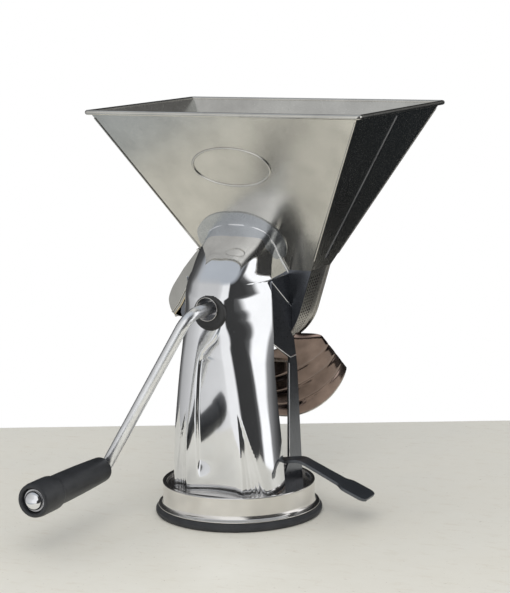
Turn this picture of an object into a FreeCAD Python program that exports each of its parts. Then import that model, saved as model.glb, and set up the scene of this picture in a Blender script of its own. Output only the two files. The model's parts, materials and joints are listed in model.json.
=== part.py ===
import FreeCAD
import Part
import Sketcher
import math
import os

# Hand-cranked food mill on a suction base.
# Frame: origin at the centre of the base on the table, +Z up, +X to the right
# of somebody at the crank, +Y to the back. The crank shaft lies along Y.
# All sizes are millimetres and degrees.

SIZES = {
    # suction base
    "cup_radius": 66.0,
    "cup_thickness": 6.6,
    "cup_lip_width": 5.0,
    "cup_groove_depth": 2.0,
    "cup_pad_radius": 22.0,
    "cup_edge_round": 1.4,
    "ring_radius": 60.2,
    "ring_top": 25.4,
    "ring_rim_width": 3.2,
    "ring_flange_radius": 63.5,
    "ring_sheet": 1.2,
    "deck_top": 21.6,
    "guide_hole_radius": 15.0,
    "foot_sheet": 1.5,
    "foot_front": 36.0,
    "foot_back": 38.0,
    "screw_radius": 2.0,
    "screw_head_radius": 3.6,
    "screw_head_height": 2.0,
    "screw_spread_x": 25.0,
    "screw_front_y": 26.0,
    "screw_back_y": 29.0,
    "screw_length": 8.0,
    # plunger and lever
    "stud_radius": 6.0,
    "stud_top": 44.0,
    "plate_radius": 26.0,
    "plate_thickness": 2.5,
    "plate_lift": 3.3,
    "guide_flange_radius": 20.0,
    "guide_flange_height": 2.5,
    "guide_depth": 5.5,
    "cam_radius": 10.5,
    "cam_offset": 3.0,
    "cam_rest_angle": 60.0,
    "cam_clearance": 0.1,
    "lever_pin_radius": 2.5,
    "lever_pin_head": 4.0,
    "lever_ear": 2.2,
    "lever_sheet": 2.5,
    "lever_bar_width": 14.0,
    "lever_bar_start": 9.0,
    "lever_tab_width": 24.0,
    "lever_tab_corner": 4.0,
    "lever_elbow_x": 55.0,
    "lever_elbow_z": 46.5,
    "lever_tab_x": 94.8,
    "lever_tab_z": 29.0,
    "lever_end_x": 112.5,
    "lever_end_z": 21.6,
    # pedestal
    "shell_sheet": 1.2,
    "shell_rear_y": 12.0,
    "shell_half_width": 46.0,
    "shell_front": 48.4,
    "shell_corner": 20.0,
    "shell_knee": 33.0,
    "shell_tail": 60.0,
    "neck_rise": 18.5,
    "side_plate_x": 35.0,
    "side_sheet": 1.5,
    "low_wall_top": 31.0,
    "strap_width": 15.5,
    "strap_foot_back": 42.0,
    "strap_front_step": 5.5,
    "strap_drop": 3.6,
    "strap_foot_step": 8.0,
    "foot_lean": 10.0,
    "panel_edge_step": 2.0,
    "panel_back_step": 4.5,
    "panel_front_drop": 30.5,
    "panel_back_drop": 47.2,
    "panel_front_rise": 17.5,
    "panel_back_dip": 7.0,
    "rest_depth": 7.5,
    "rest_sheet": 1.5,
    # crank line
    "crank_height": 169.5,
    "sleeve_radius": 9.3,
    "sleeve_wall": 0.7,
    "sleeve_front": 51.0,
    "collar_radius": 13.6,
    "collar_shift": 1.5,
    "collar_sag": 3.2,
    "collar_round": 1.5,
    "collar_front": 49.8,
    "collar_length": 9.5,
    "bush_length": 12.0,
    "bush_inset": 2.0,
    "shaft_radius": 6.0,
    "shaft_front": 38.0,
    "shaft_end_radius": 4.0,
    "shaft_end_length": 6.0,
    "rod_radius": 4.6,
    "rod_seat": 18.5,
    "rod_bend_y": 80.0,
    "rod_elbow_radius": 12.0,
    "rod_grip_bend": 5.5,
    "arm_radius": 143.8,
    "arm_angle": 31.2,
    "cross_pin_radius": 1.25,
    "grip_length": 99.0,
    "grip_neck_radius": 9.6,
    "grip_waist_radius": 11.2,
    "grip_collar_radius": 12.9,
    "grip_collar_length": 26.0,
    "grip_end_round": 2.5,
    "grip_end_gap": 0.5,
    "grip_recess_radius": 9.2,
    "grip_recess_depth": 4.0,
    "rivet_radius": 7.2,
    "rivet_height": 4.4,
    "washer_thickness": 0.8,
    # hopper
    "hopper_sheet": 1.0,
    "rim_length": 222.0,
    "rim_depth": 171.5,
    "rim_height": 316.2,
    "hopper_offset_x": 11.5,
    "hopper_front_y": 46.4,
    "throat_length": 84.4,
    "throat_depth": 38.0,
    "throat_front_y": 24.0,
    "throat_rise": 21.5,
    "throat_notch": 7.0,
    "rim_wire_radius": 1.8,
    "rim_wire_rise": 0.2,
    "flange_sheet": 1.0,
    "flange_half_width": 38.0,
    "flange_centre_x": 1.5,
    "flange_rise": 11.0,
    "flange_height": 36.0,
    # drum
    "drum_sheet": 1.2,
    "drum_plate_radius": 45.0,
    "screen_radius": 43.4,
    "screen_sheet": 0.8,
    "screen_side_gap": 1.5,
    "screen_end_angle": 205.0,
    "screen_hole_radius": 1.2,
    "screen_hole_rows": 12.0,
    "screen_holes_across": 6.0,
    "screen_hole_step": 10.0,
    "gusset_sheet": 1.2,
    "rear_bush_radius": 8.0,
    "rear_bush_flange": 11.0,
    "rear_bush_flange_height": 2.0,
    # rotor
    "hub_radius": 9.0,
    "hub_disc_radius": 18.0,
    "hub_disc_sheet": 2.0,
    "hub_end_gap": 1.8,
    "paddle_pivot_radius": 14.0,
    "paddle_tip_radius": 42.3,
    "paddle_sheet": 1.5,
    "paddle_knuckle_radius": 3.0,
    "paddle_pin_radius": 1.5,
    "paddle_angle": 20.0,
    "spring_radius": 2.8,
    "spring_length": 2.4,
    # waste scoop
    "scoop_sheet": 1.2,
    "scoop_reach": 72.9,
    "scoop_fold_rise": 13.5,
    "scoop_drop": 21.7,
    # juice chute
    "chute_sheet": 1.0,
    "chute_slope": 36.5,
    "chute_half_width": 46.5,
    "chute_lip_depth": 47.5,
    "chute_start_depth": 31.0,
    "chute_length": 60.5,
    "chute_tail": 20.0,
    "chute_tail_half_width": 33.0,
    "chute_edge_y": 59.7,
    "chute_edge_drop": 36.7,
    "chute_tail_drop": 8.0,
    "chute_tail_lift": 1.0,
    "chute_tongue_lap": 1.5,
    "chute_tongue_width": 36.0,
    "chute_tongue_height": 12.0,
    # fits
    "seat_gap": 0.3,
    "run_gap": 0.05,
    "press_gap": 0.02,
}


class Size:
    """A number together with the spreadsheet expression that gives it."""

    def __init__(self, value, text):
        self.value = float(value)
        self.text = text

    def __add__(self, other):
        other = as_size(other)
        return Size(self.value + other.value, "(%s + %s)" % (self.text, other.text))

    def __radd__(self, other):
        return as_size(other) + self

    def __sub__(self, other):
        other = as_size(other)
        return Size(self.value - other.value, "(%s - %s)" % (self.text, other.text))

    def __rsub__(self, other):
        return as_size(other) - self

    def __mul__(self, other):
        other = as_size(other)
        return Size(self.value * other.value, "(%s * %s)" % (self.text, other.text))

    def __rmul__(self, other):
        return as_size(other) * self

    def __truediv__(self, other):
        other = as_size(other)
        return Size(self.value / other.value, "(%s / %s)" % (self.text, other.text))

    def __neg__(self):
        return 0.0 - self

    def __float__(self):
        return self.value


def as_size(number):
    return number if isinstance(number, Size) else Size(number, "%.9g" % float(number))


def wave(function, degrees):
    """sin or cos of an angle kept as an expression."""
    value = getattr(math, function)(math.radians(float(degrees)))
    return Size(value, "%s(%s * 1deg)" % (function, as_size(degrees).text))


doc = FreeCAD.newDocument("food_mill")
sheet = doc.addObject("Spreadsheet::Sheet", "sizes")
for row, (alias, number) in enumerate(SIZES.items(), start=1):
    sheet.set("A%d" % row, alias)
    sheet.set("B%d" % row, "%g" % number)
    sheet.setAlias("B%d" % row, alias)
doc.recompute()


class Sheet:
    """Reads a cell of the sheet by its alias."""

    def __getattr__(self, alias):
        return Size(getattr(sheet, alias), "sizes." + alias)


S = Sheet()
PIECES = []

THROAT_Z = S.crank_height + S.throat_rise
NECK_Z = S.crank_height + S.neck_rise
CHUTE_Z = S.crank_height - S.chute_edge_drop

Vec = FreeCAD.Vector
X_AXIS = Vec(1, 0, 0)
Y_AXIS = Vec(0, 1, 0)
Z_AXIS = Vec(0, 0, 1)
UP = FreeCAD.Rotation()
BACKWARDS = FreeCAD.Rotation(X_AXIS, -90)
FORWARDS = FreeCAD.Rotation(X_AXIS, 90)


# ---------------------------------------------------------------- helpers

def bind(item, name, size):
    """Sets a property from the sheet, or from a plain number."""
    size = as_size(size)
    if "sizes." in size.text:
        item.setExpression(name, size.text)
    else:
        setattr(item, name, size.value)


def put(item, place, turn=UP):
    """Places a document object; the place follows the sheet."""
    numbers = [float(value) for value in place]
    item.Placement = FreeCAD.Placement(Vec(*numbers), turn)
    for axis, value in zip("xyz", place):
        text = as_size(value).text
        if "sizes." in text:
            item.setExpression("Placement.Base." + axis, text)
    return item


def keep(item, label):
    """Names a finished sub-part, which is written to its own file."""
    item.Label = label
    PIECES.append(item)
    return item


def origin_plane(body, role):
    return [item for item in body.Origin.OriginFeatures if item.Role == role][0]


def polygon_sketch(body, plane, points):
    """A closed outline whose corners are dimensioned from the origin."""
    sketch = body.newObject("Sketcher::SketchObject", body.Name + "_sketch")
    sketch.AttachmentSupport = [(origin_plane(body, plane), "")]
    sketch.MapMode = "FlatFace"
    corners = [(as_size(u), as_size(v)) for u, v in points]
    count = len(corners)
    for index, (u, v) in enumerate(corners):
        next_u, next_v = corners[(index + 1) % count]
        start = Vec(u.value, v.value, 0)
        end = Vec(next_u.value, next_v.value, 0)
        sketch.addGeometry(Part.LineSegment(start, end))
    for index in range(count):
        joint = Sketcher.Constraint("Coincident", index, 2, (index + 1) % count, 1)
        sketch.addConstraint(joint)
    for index, corner in enumerate(corners):
        for kind, axis, value in zip(("DistanceX", "DistanceY"), (-2, -1), corner):
            if value.text == "0":
                sketch.addConstraint(Sketcher.Constraint("PointOnObject", index, 1, axis))
                continue
            number = sketch.addConstraint(
                Sketcher.Constraint(kind, -1, 1, index, 1, value.value))
            if "sizes." in value.text:
                sketch.setExpression("Constraints[%d]" % number, value.text)
    return sketch


def turned(label, profile, place=(0, 0, 0), turn=UP):
    """A piece turned about its own Z axis from (radius, height) corners."""
    body = doc.addObject("PartDesign::Body", label)
    sketch = polygon_sketch(body, "XZ_Plane", profile)
    spin = body.newObject("PartDesign::Revolution", label + "_turned")
    spin.Profile = sketch
    spin.ReferenceAxis = (sketch, ["V_Axis"])
    spin.Angle = 360
    body.Tip = spin
    put(body, place, turn)
    return keep(body, label)


def padded(name, plane, outline, length, place=(0, 0, 0), back=False):
    """A plate padded from an outline; back turns the pad round."""
    body = doc.addObject("PartDesign::Body", name)
    sketch = polygon_sketch(body, plane, outline)
    pad = body.newObject("PartDesign::Pad", name + "_pad")
    pad.Profile = sketch
    bind(pad, "Length", length)
    pad.Reversed = back
    body.Tip = pad
    return put(body, place)


def rod(name, radius, length, place=(0, 0, 0), turn=UP):
    cylinder = doc.addObject("Part::Cylinder", name)
    bind(cylinder, "Radius", radius)
    bind(cylinder, "Height", length)
    return put(cylinder, place, turn)


def block(name, low, high):
    box = doc.addObject("Part::Box", name)
    low = [as_size(value) for value in low]
    high = [as_size(value) for value in high]
    bind(box, "Length", high[0] - low[0])
    bind(box, "Width", high[1] - low[1])
    bind(box, "Height", high[2] - low[2])
    return put(box, low)


def fused(name, *items):
    result = doc.addObject("Part::MultiFuse", name)
    result.Shapes = list(items)
    result.Refine = True
    return result


def less(name, base, *tools):
    tool = tools[0] if len(tools) == 1 else fused(name + "_tools", *tools)
    result = doc.addObject("Part::Cut", name)
    result.Base = base
    result.Tool = tool
    return result


def solid_feature(label, shape):
    """A sub-part whose shape needs curves that no feature offers."""
    place = shape.Placement
    feature = doc.addObject("Part::Feature", label)
    feature.Shape = shape
    feature.Placement = place
    return keep(feature, label)


def number(size):
    return float(size)


def closed_face(points, plane="xz", at=0.0):
    """A flat face through 2-D corners in a plane of the frame."""
    places = {
        "xz": lambda p: Vec(p[0], at, p[1]),
        "yz": lambda p: Vec(at, p[0], p[1]),
        "xy": lambda p: Vec(p[0], p[1], at),
    }
    corners = [places[plane](point) for point in points]
    return Part.Face(Part.makePolygon(corners + corners[:1]))


def between(table, height):
    """Straight-line reading of a (height, value) table."""
    for (low, first), (high, second) in zip(table, table[1:]):
        if height <= high:
            return first + (second - first) * (height - low) / (high - low)
    return table[-1][1]


# ---------------------------------------------------------------- suction base

def suction_cup():
    turned("suction_cup", [
        (0, 0),
        (S.cup_pad_radius, 0),
        (S.cup_pad_radius + S.cup_groove_depth, S.cup_groove_depth),
        (S.cup_radius - S.cup_lip_width - 2 * S.cup_groove_depth, S.cup_groove_depth),
        (S.cup_radius - S.cup_lip_width - S.cup_groove_depth, 0),
        (S.cup_radius - S.cup_edge_round, 0),
        (S.cup_radius, S.cup_edge_round),
        (S.cup_radius, S.cup_thickness - S.cup_edge_round),
        (S.cup_radius - S.cup_edge_round, S.cup_thickness),
        (0, S.cup_thickness),
    ])


def base_ring():
    recess = S.ring_radius - S.ring_rim_width
    inner = S.ring_radius - S.ring_sheet
    deck_bottom = S.deck_top - S.ring_sheet
    ring = turned("base_ring_blank", [
        (inner, S.cup_thickness),
        (S.ring_flange_radius, S.cup_thickness),
        (S.ring_flange_radius, S.cup_thickness + S.ring_sheet),
        (S.ring_radius, S.cup_thickness + S.ring_sheet),
        (S.ring_radius, S.ring_top),
        (recess, S.ring_top),
        (recess, S.deck_top),
        (S.guide_hole_radius, S.deck_top),
        (S.guide_hole_radius, deck_bottom),
        (inner, deck_bottom),
    ])
    PIECES.remove(ring)
    keep(less("ring_drilled", ring, *screw_holes("ring_hole")), "base_ring")


def screw_places():
    return [
        (S.screw_spread_x, -S.screw_front_y),
        (-S.screw_spread_x, -S.screw_front_y),
        (S.screw_spread_x, S.screw_back_y),
        (-S.screw_spread_x, S.screw_back_y),
    ]


def screw_holes(name):
    base = S.deck_top - 2 * S.ring_sheet
    length = 2 * S.ring_sheet + 2 * S.foot_sheet
    return [
        rod("%s_%d" % (name, index), S.screw_radius + S.run_gap, length, (x, y, base))
        for index, (x, y) in enumerate(screw_places())
    ]


def foot_plate():
    half = S.side_plate_x - S.seat_gap
    blank = block("foot_blank",
                  (-half, -S.foot_front, S.deck_top),
                  (half, S.foot_back, S.deck_top + S.foot_sheet))
    hole = rod("foot_hole", S.guide_hole_radius, 2 * S.foot_sheet,
               (0, 0, S.deck_top - S.foot_sheet / 2))
    keep(less("foot_drilled", blank, hole, *screw_holes("foot_screw_hole")), "foot_plate")


def base_screws():
    seat = S.deck_top + S.foot_sheet
    screws = []
    for index, (x, y) in enumerate(screw_places()):
        shank = rod("screw_shank_%d" % index, S.screw_radius, S.screw_length,
                    (x, y, seat - S.screw_length))
        head = rod("screw_head_%d" % index, S.screw_head_radius, S.screw_head_height,
                   (x, y, seat))
        screws.append(fused("screw_%d" % index, shank, head))
    group = doc.addObject("Part::Compound", "screw_group")
    group.Links = screws
    keep(group, "base_screws")


# ---------------------------------------------------------------- plunger and lever

PIVOT_Z = (S.deck_top + S.foot_sheet + S.guide_flange_height + S.cam_clearance
           + S.cam_radius + S.cam_offset * wave("cos", S.cam_rest_angle))


def plunger_guide():
    bore = S.stud_radius + S.run_gap
    barrel = S.guide_hole_radius - S.seat_gap
    turned("plunger_guide", [
        (bore, 0),
        (barrel, 0),
        (barrel, S.guide_depth),
        (S.guide_flange_radius, S.guide_depth),
        (S.guide_flange_radius, S.guide_depth + S.guide_flange_height),
        (bore, S.guide_depth + S.guide_flange_height),
    ], (0, 0, S.deck_top + S.foot_sheet - S.guide_depth))


def plunger():
    plate_bottom = S.cup_thickness + S.plate_lift
    plate_top = plate_bottom + S.plate_thickness
    turned("plunger_plate", [
        (0, 0),
        (S.plate_radius, 0),
        (S.plate_radius, S.plate_thickness / 2),
        (S.plate_radius - S.plate_thickness / 2, S.plate_thickness),
        (0, S.plate_thickness),
    ], (0, 0, plate_bottom))
    stem = rod("stud_stem", S.stud_radius, S.stud_top - plate_top, (0, 0, plate_top))
    eye = rod("stud_eye", S.lever_pin_radius + S.press_gap, 4 * S.stud_radius,
              (0, -2 * S.stud_radius, PIVOT_Z), BACKWARDS)
    keep(less("stud_drilled", stem, eye), "plunger_stud")
    reach = S.stud_radius + S.seat_gap + S.lever_ear + S.seat_gap
    stem = rod("lever_pin_stem", S.lever_pin_radius, 2 * reach, (0, -reach, PIVOT_Z), BACKWARDS)
    heads = [
        rod("lever_pin_head_%d" % index, S.lever_pin_head, S.lever_ear / 2, place, BACKWARDS)
        for index, place in enumerate((
            (0, -reach - S.lever_ear / 2, PIVOT_Z), (0, reach, PIVOT_Z)))
    ]
    keep(fused("lever_pin_whole", stem, *heads), "lever_pin")


def suction_lever():
    """Two cam ears on the stud, joined by a folded strip that widens to a tab."""
    inner = S.stud_radius + S.seat_gap
    outer = inner + S.lever_ear
    thick = S.lever_sheet
    strip_start = 2 * S.cam_radius
    ears = []
    for index, start in enumerate((inner, -outer)):
        cam_x = S.cam_offset * wave("sin", S.cam_rest_angle)
        cam_z = PIVOT_Z - S.cam_offset * wave("cos", S.cam_rest_angle)
        cam = rod("cam_%d" % index, S.cam_radius, S.lever_ear, (cam_x, start, cam_z), BACKWARDS)
        arm = block("cam_arm_%d" % index,
                    (0, start, PIVOT_Z - thick), (strip_start, start + S.lever_ear,
                                                  PIVOT_Z + 2 * thick))
        ears.append(fused("ear_%d" % index, cam, arm))
    bar = padded("lever_bar", "XZ_Plane", [
        (S.lever_bar_start, PIVOT_Z + thick),
        (strip_start + thick, PIVOT_Z + thick),
        (strip_start + thick, PIVOT_Z + 2 * thick),
        (S.lever_bar_start, PIVOT_Z + 2 * thick),
    ], 2 * outer, (0, outer, 0))
    half_tab = S.lever_tab_width / 2
    half_bar = S.lever_bar_width / 2
    folded = padded("lever_folded", "XZ_Plane", [
        (strip_start, PIVOT_Z + thick),
        (S.lever_elbow_x - thick / 2, S.lever_elbow_z - thick / 2),
        (S.lever_end_x, S.lever_end_z - thick / 2),
        (S.lever_end_x, S.lever_end_z + thick / 2),
        (S.lever_tab_x, S.lever_tab_z + thick / 2),
        (S.lever_elbow_x, S.lever_elbow_z + thick / 2),
        (strip_start, PIVOT_Z + 2 * thick),
    ], S.lever_tab_width, (0, half_tab, 0))
    plan = padded("lever_plan", "XY_Plane", [
        (strip_start, -half_bar),
        (S.lever_elbow_x, -half_bar),
        (S.lever_tab_x, -half_tab),
        (S.lever_end_x - S.lever_tab_corner, -half_tab),
        (S.lever_end_x, S.lever_tab_corner - half_tab),
        (S.lever_end_x, half_tab - S.lever_tab_corner),
        (S.lever_end_x - S.lever_tab_corner, half_tab),
        (S.lever_tab_x, half_tab),
        (S.lever_elbow_x, half_bar),
        (strip_start, half_bar),
    ], 2 * S.lever_elbow_z)
    strip = doc.addObject("Part::MultiCommon", "lever_strip")
    strip.Shapes = [folded, plan]
    whole = fused("lever_whole", bar, strip, *ears)
    eye = rod("lever_eye", S.lever_pin_radius + S.run_gap, 4 * outer,
              (0, -2 * outer, PIVOT_Z), BACKWARDS)
    keep(less("lever_drilled", whole, eye), "suction_lever")


# ---------------------------------------------------------------- pedestal

# Height above the deck as a share of the crank line's height above it, against
# the half-width at the front corners and at the rear edge as shares of the
# half-width at the foot, and the front face as a share of its furthest place.
SHELL_FRONT_WIDTH = [(0.0, 1.0), (0.26, 0.945), (0.53, 0.833), (0.70, 0.74), (0.835, 0.637),
                     (0.935, 0.548), (1.015, 0.517), (1.11, 0.517), (1.205, 0.548),
                     (1.315, 0.591), (1.475, 0.598)]
SHELL_REAR_WIDTH = [(0.0, 1.005), (0.26, 0.948), (0.53, 0.87), (0.70, 0.83), (0.87, 0.822),
                    (1.005, 0.809), (1.12, 0.757), (1.19, 0.687), (1.26, 0.64),
                    (1.38, 0.604), (1.475, 0.598)]
SHELL_FRONT_Y = [(0.0, -0.9), (0.26, -0.92), (0.53, -0.95), (0.70, -0.97), (0.835, -0.99),
                 (0.935, -1.0), (1.045, -1.0), (1.12, -0.93), (1.185, -0.785), (1.26, -0.568),
                 (1.33, -0.279), (1.395, 0.062), (1.475, 0.33)]
SHELL_LEVELS = [0.0, 0.26, 0.53, 0.73, 0.87, 0.95, 1.03, 1.11, 1.185, 1.26, 1.33, 1.395, 1.475]


def shell_section(level, inset):
    """A D in plan: flat front, round corners, flared flanks."""
    height = number(S.deck_top) + level * number(S.crank_height - S.deck_top)
    half_foot = number(S.shell_half_width)
    half_front = between(SHELL_FRONT_WIDTH, level) * half_foot - inset
    half_rear = between(SHELL_REAR_WIDTH, level) * half_foot - inset
    front = between(SHELL_FRONT_Y, level) * number(S.shell_front) + inset
    corner = number(S.shell_corner) - inset
    centre = (half_front - corner, front + corner)
    knee = (half_rear, front - inset + number(S.shell_knee))
    reach = math.hypot(knee[0] - centre[0], knee[1] - centre[1])
    aim = math.atan2(knee[1] - centre[1], knee[0] - centre[0])
    touch = aim - math.acos(corner / reach)

    def on_corner(side, angle):
        return Vec(side * (centre[0] + corner * math.cos(angle)),
                   centre[1] + corner * math.sin(angle), height)

    middle = (touch - math.pi / 2) / 2
    tail = number(S.shell_tail) + 10 * inset
    left_arc = Part.Arc(on_corner(-1, touch), on_corner(-1, middle), on_corner(-1, -math.pi / 2))
    right_arc = Part.Arc(on_corner(1, -math.pi / 2), on_corner(1, middle), on_corner(1, touch))
    stops = [
        (Vec(-half_rear, tail, height), Vec(-half_rear, knee[1], height)),
        (Vec(-half_rear, knee[1], height), on_corner(-1, touch)),
    ]
    edges = [Part.LineSegment(*pair).toShape() for pair in stops]
    edges.append(left_arc.toShape())
    edges.append(Part.LineSegment(on_corner(-1, -math.pi / 2),
                                  on_corner(1, -math.pi / 2)).toShape())
    edges.append(right_arc.toShape())
    edges.append(Part.LineSegment(on_corner(1, touch), Vec(half_rear, knee[1], height)).toShape())
    edges.append(Part.LineSegment(Vec(half_rear, knee[1], height),
                                  Vec(half_rear, tail, height)).toShape())
    edges.append(Part.LineSegment(Vec(half_rear, tail, height),
                                  Vec(-half_rear, tail, height)).toShape())
    return Part.Wire(edges)


def wall_directions():
    """Up the hopper's front wall, and out of its front face."""
    run = number(S.throat_front_y) + number(S.hopper_front_y)
    rise = number(S.rim_height) - number(THROAT_Z)
    up_slope = Vec(0, -run, rise).normalize()
    outward = Vec(0, -rise, -run).normalize()
    return up_slope, outward


def behind_wall(offset):
    """All that lies behind the hopper's front face moved out by offset."""
    up_slope, outward = wall_directions()
    foot = Vec(0, number(S.throat_front_y), number(THROAT_Z)) + outward * offset
    width = 2 * number(S.rim_length)
    side = Vec(-width / 2, 0, 0)
    corners = [foot - up_slope * width, foot + up_slope * width,
               foot + up_slope * width - outward * width,
               foot - up_slope * width - outward * width]
    corners = [corner + side for corner in corners]
    return Part.Face(Part.makePolygon(corners + corners[:1])).extrude(Vec(width, 0, 0))


def front_shell():
    sheet_metal = number(S.shell_sheet)
    outer = Part.makeLoft([shell_section(level, 0.0) for level in SHELL_LEVELS], True, True)
    inner = Part.makeLoft([shell_section(level, sheet_metal) for level in SHELL_LEVELS],
                          True, True)
    shell = outer.cut(inner)
    wide = 4 * number(S.cup_radius)
    rear = -number(S.shell_rear_y)
    below_neck = Part.makeBox(wide, wide, number(NECK_Z),
                              Vec(-wide / 2, rear, 0))
    behind_drum = Part.makeBox(wide, wide, wide,
                               Vec(-wide / 2, number(S.throat_front_y - S.seat_gap), 0))
    bush_hole = Part.makeCylinder(number(S.collar_radius + S.seat_gap), wide / 2,
                                  Vec(number(S.collar_shift), -wide / 2,
                                      number(S.crank_height - S.collar_sag)), Y_AXIS)
    shell = shell.cut(below_neck)
    shell = shell.cut(behind_drum)
    shell = shell.cut(behind_wall(number(S.flange_sheet)))
    shell = shell.cut(bush_hole)
    solids = sorted(shell.Solids, key=lambda solid: solid.Volume)
    solid_feature("front_shell", solids[-1])


def side_outline():
    front = -S.shell_rear_y + S.seat_gap
    drum_face = S.throat_front_y - S.seat_gap
    low_back = S.crank_height - S.panel_back_drop
    low_front = S.crank_height - S.panel_front_drop
    strap_front_top = S.throat_front_y - S.strap_front_step
    strap_foot_front = S.strap_foot_back - S.strap_width - S.foot_lean
    return [
        (front, S.deck_top),
        (S.strap_foot_back, S.deck_top),
        (strap_front_top + S.strap_width, low_back - S.foot_lean),
        (strap_front_top + S.strap_width - S.panel_edge_step, low_back),
        (drum_face + S.panel_back_step, low_front - S.panel_edge_step),
        (drum_face, low_front + S.panel_edge_step),
        (drum_face, S.crank_height - S.panel_back_dip),
        (front, S.crank_height + S.panel_front_rise),
        (front, low_front),
        (drum_face - S.strap_drop, low_back),
        (strap_front_top, low_back - S.strap_drop),
        (strap_foot_front, S.low_wall_top + S.strap_foot_step),
        (strap_foot_front - S.strap_foot_step, S.low_wall_top),
        (front, S.low_wall_top),
    ]


def side_plates():
    for side, start in (("right", S.side_plate_x), ("left", -S.side_plate_x - S.side_sheet)):
        label = "side_plate_" + side
        plate = padded(label, "YZ_Plane", side_outline(), S.side_sheet, (start, 0, 0))
        keep(plate, label)


def chute_rest():
    tail_bottom = chute_point(-S.chute_tail, -chute_tail_bottom())
    top = tail_bottom[1] - S.chute_sheet / 2 - S.seat_gap
    back = tail_bottom[0]
    rest = block("chute_rest",
                 (-S.side_plate_x, back - S.rest_depth, top - S.rest_sheet),
                 (S.side_plate_x, back, top))
    keep(rest, "chute_rest")


# ---------------------------------------------------------------- hopper

def hopper_corners(height, inset):
    """Left, right, front and back of the hopper at a height, moved in."""
    share = (height - number(THROAT_Z)) / number(S.rim_height - THROAT_Z)

    def mixed(low, high):
        return low + (high - low) * share

    half = mixed(number(S.throat_length) / 2, number(S.rim_length) / 2) - inset
    centre = number(S.hopper_offset_x)
    front = mixed(number(S.throat_front_y), -number(S.hopper_front_y)) + inset
    back_low = number(S.throat_front_y + S.throat_depth)
    back_high = number(S.rim_depth - S.hopper_front_y)
    back = mixed(back_low, back_high) - inset
    middle = mixed((number(S.throat_front_y) + back_low) / 2,
                   (back_high - number(S.hopper_front_y)) / 2)
    return centre - half, centre + half, front, back, middle


# A leaning wall's thickness measured level, as a share of its sheet.
WALL_LEAN = 1.15


def hopper_half(label, which):
    bottom = number(THROAT_Z)
    top = number(S.rim_height)
    inset = WALL_LEAN * number(S.hopper_sheet)
    wires = []
    for height in (bottom, top):
        left, right, front, back, middle = hopper_corners(height, 0.0)
        in_left, in_right, in_front, in_back, _ = hopper_corners(height, inset)
        edge, in_edge = (front, in_front) if which == "front" else (back, in_back)
        path = [(left, middle), (left, edge), (right, edge), (right, middle),
                (in_right, middle), (in_right, in_edge), (in_left, in_edge), (in_left, middle)]
        corners = [Vec(x, y, height) for x, y in path]
        wires.append(Part.makePolygon(corners + corners[:1]))
    half = Part.makeLoft(wires, True, True)
    notch_top = number(THROAT_Z + S.throat_notch)
    left = hopper_corners(notch_top, 0.0)[0]
    wide = number(S.rim_length)
    notch = Part.makeBox(wide, number(S.throat_depth) + 4 * inset, wide,
                         Vec(left - wide + 6 * inset, number(S.throat_front_y) + 2 * inset,
                             notch_top - wide))
    solid_feature(label, half.cut(notch))


def rim_wire():
    """A round roll just outside the mouth, turning about its four corners."""
    height = number(S.rim_height + S.rim_wire_rise)
    radius = number(S.rim_wire_radius)
    bend = number(S.rim_wire_radius + S.seat_gap)
    left, right, front, back, _ = hopper_corners(number(S.rim_height), -bend)
    corners = [(right, front), (right, back), (left, back), (left, front)]
    headings = [(0, 1), (-1, 0), (0, -1), (1, 0)]
    edges = []
    for index, (x, y) in enumerate(corners):
        ahead = headings[index]
        behind = headings[index - 1]
        start = Vec(x - behind[0] * bend, y - behind[1] * bend, height)
        end = Vec(x + ahead[0] * bend, y + ahead[1] * bend, height)
        pull = bend * (1 - math.sqrt(0.5))
        middle = Vec(x + (ahead[0] - behind[0]) * pull, y + (ahead[1] - behind[1]) * pull, height)
        edges.append(Part.Arc(start, middle, end).toShape())
        next_x, next_y = corners[(index + 1) % 4]
        edges.append(Part.LineSegment(
            end, Vec(next_x - ahead[0] * bend, next_y - ahead[1] * bend, height)).toShape())
    path = Part.Wire(edges)
    start = path.Vertexes[0].Point
    ring = Part.Wire(Part.makeCircle(radius, start, X_AXIS))
    solid_feature("rim_wire", path.makePipeShell([ring], True, False))


# Places round the flange: across as a share of its half-width, up as a share of
# its height. Each arc runs through three of them.
FLANGE_OUTLINE = [(-0.85, 0.0), (-1.0, 0.28), (-0.97, 0.58), (-0.64, 0.88), (-0.11, 1.0),
                  (0.5, 0.92), (0.82, 0.68), (0.98, 0.33), (0.85, 0.0)]


def neck_flange():
    """An arched plate welded to the hopper's front wall."""
    up_slope, outward = wall_directions()
    foot = Vec(0, number(S.throat_front_y), number(THROAT_Z))
    low = number(THROAT_Z + S.flange_rise)
    corners = []
    for across, share in FLANGE_OUTLINE:
        x = number(S.flange_centre_x) + across * number(S.flange_half_width)
        z = low + share * number(S.flange_height)
        corners.append(foot + up_slope * ((z - foot.z) / up_slope.z) + Vec(x, 0, 0))
    edges = [Part.Arc(*corners[start:start + 3]).toShape()
             for start in range(0, len(corners) - 1, 2)]
    edges.append(Part.LineSegment(corners[-1], corners[0]).toShape())
    face = Part.Face(Part.Wire(edges))
    solid_feature("neck_flange", face.extrude(outward * number(S.flange_sheet)))


# ---------------------------------------------------------------- drum

# Where the scoop joins the drum's plates, and the scoop's skin, both leftwards
# and upwards from the crank line as shares of the scoop's reach.
SCOOP_SEAM = [(0.822, -0.303), (0.918, -0.274), (0.822, -0.13), (0.738, 0.014), (0.649, 0.185)]
SCOOP_SKIN = [(0.624, 0.453), (0.796, 0.258), (0.951, 0.026)]


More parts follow.
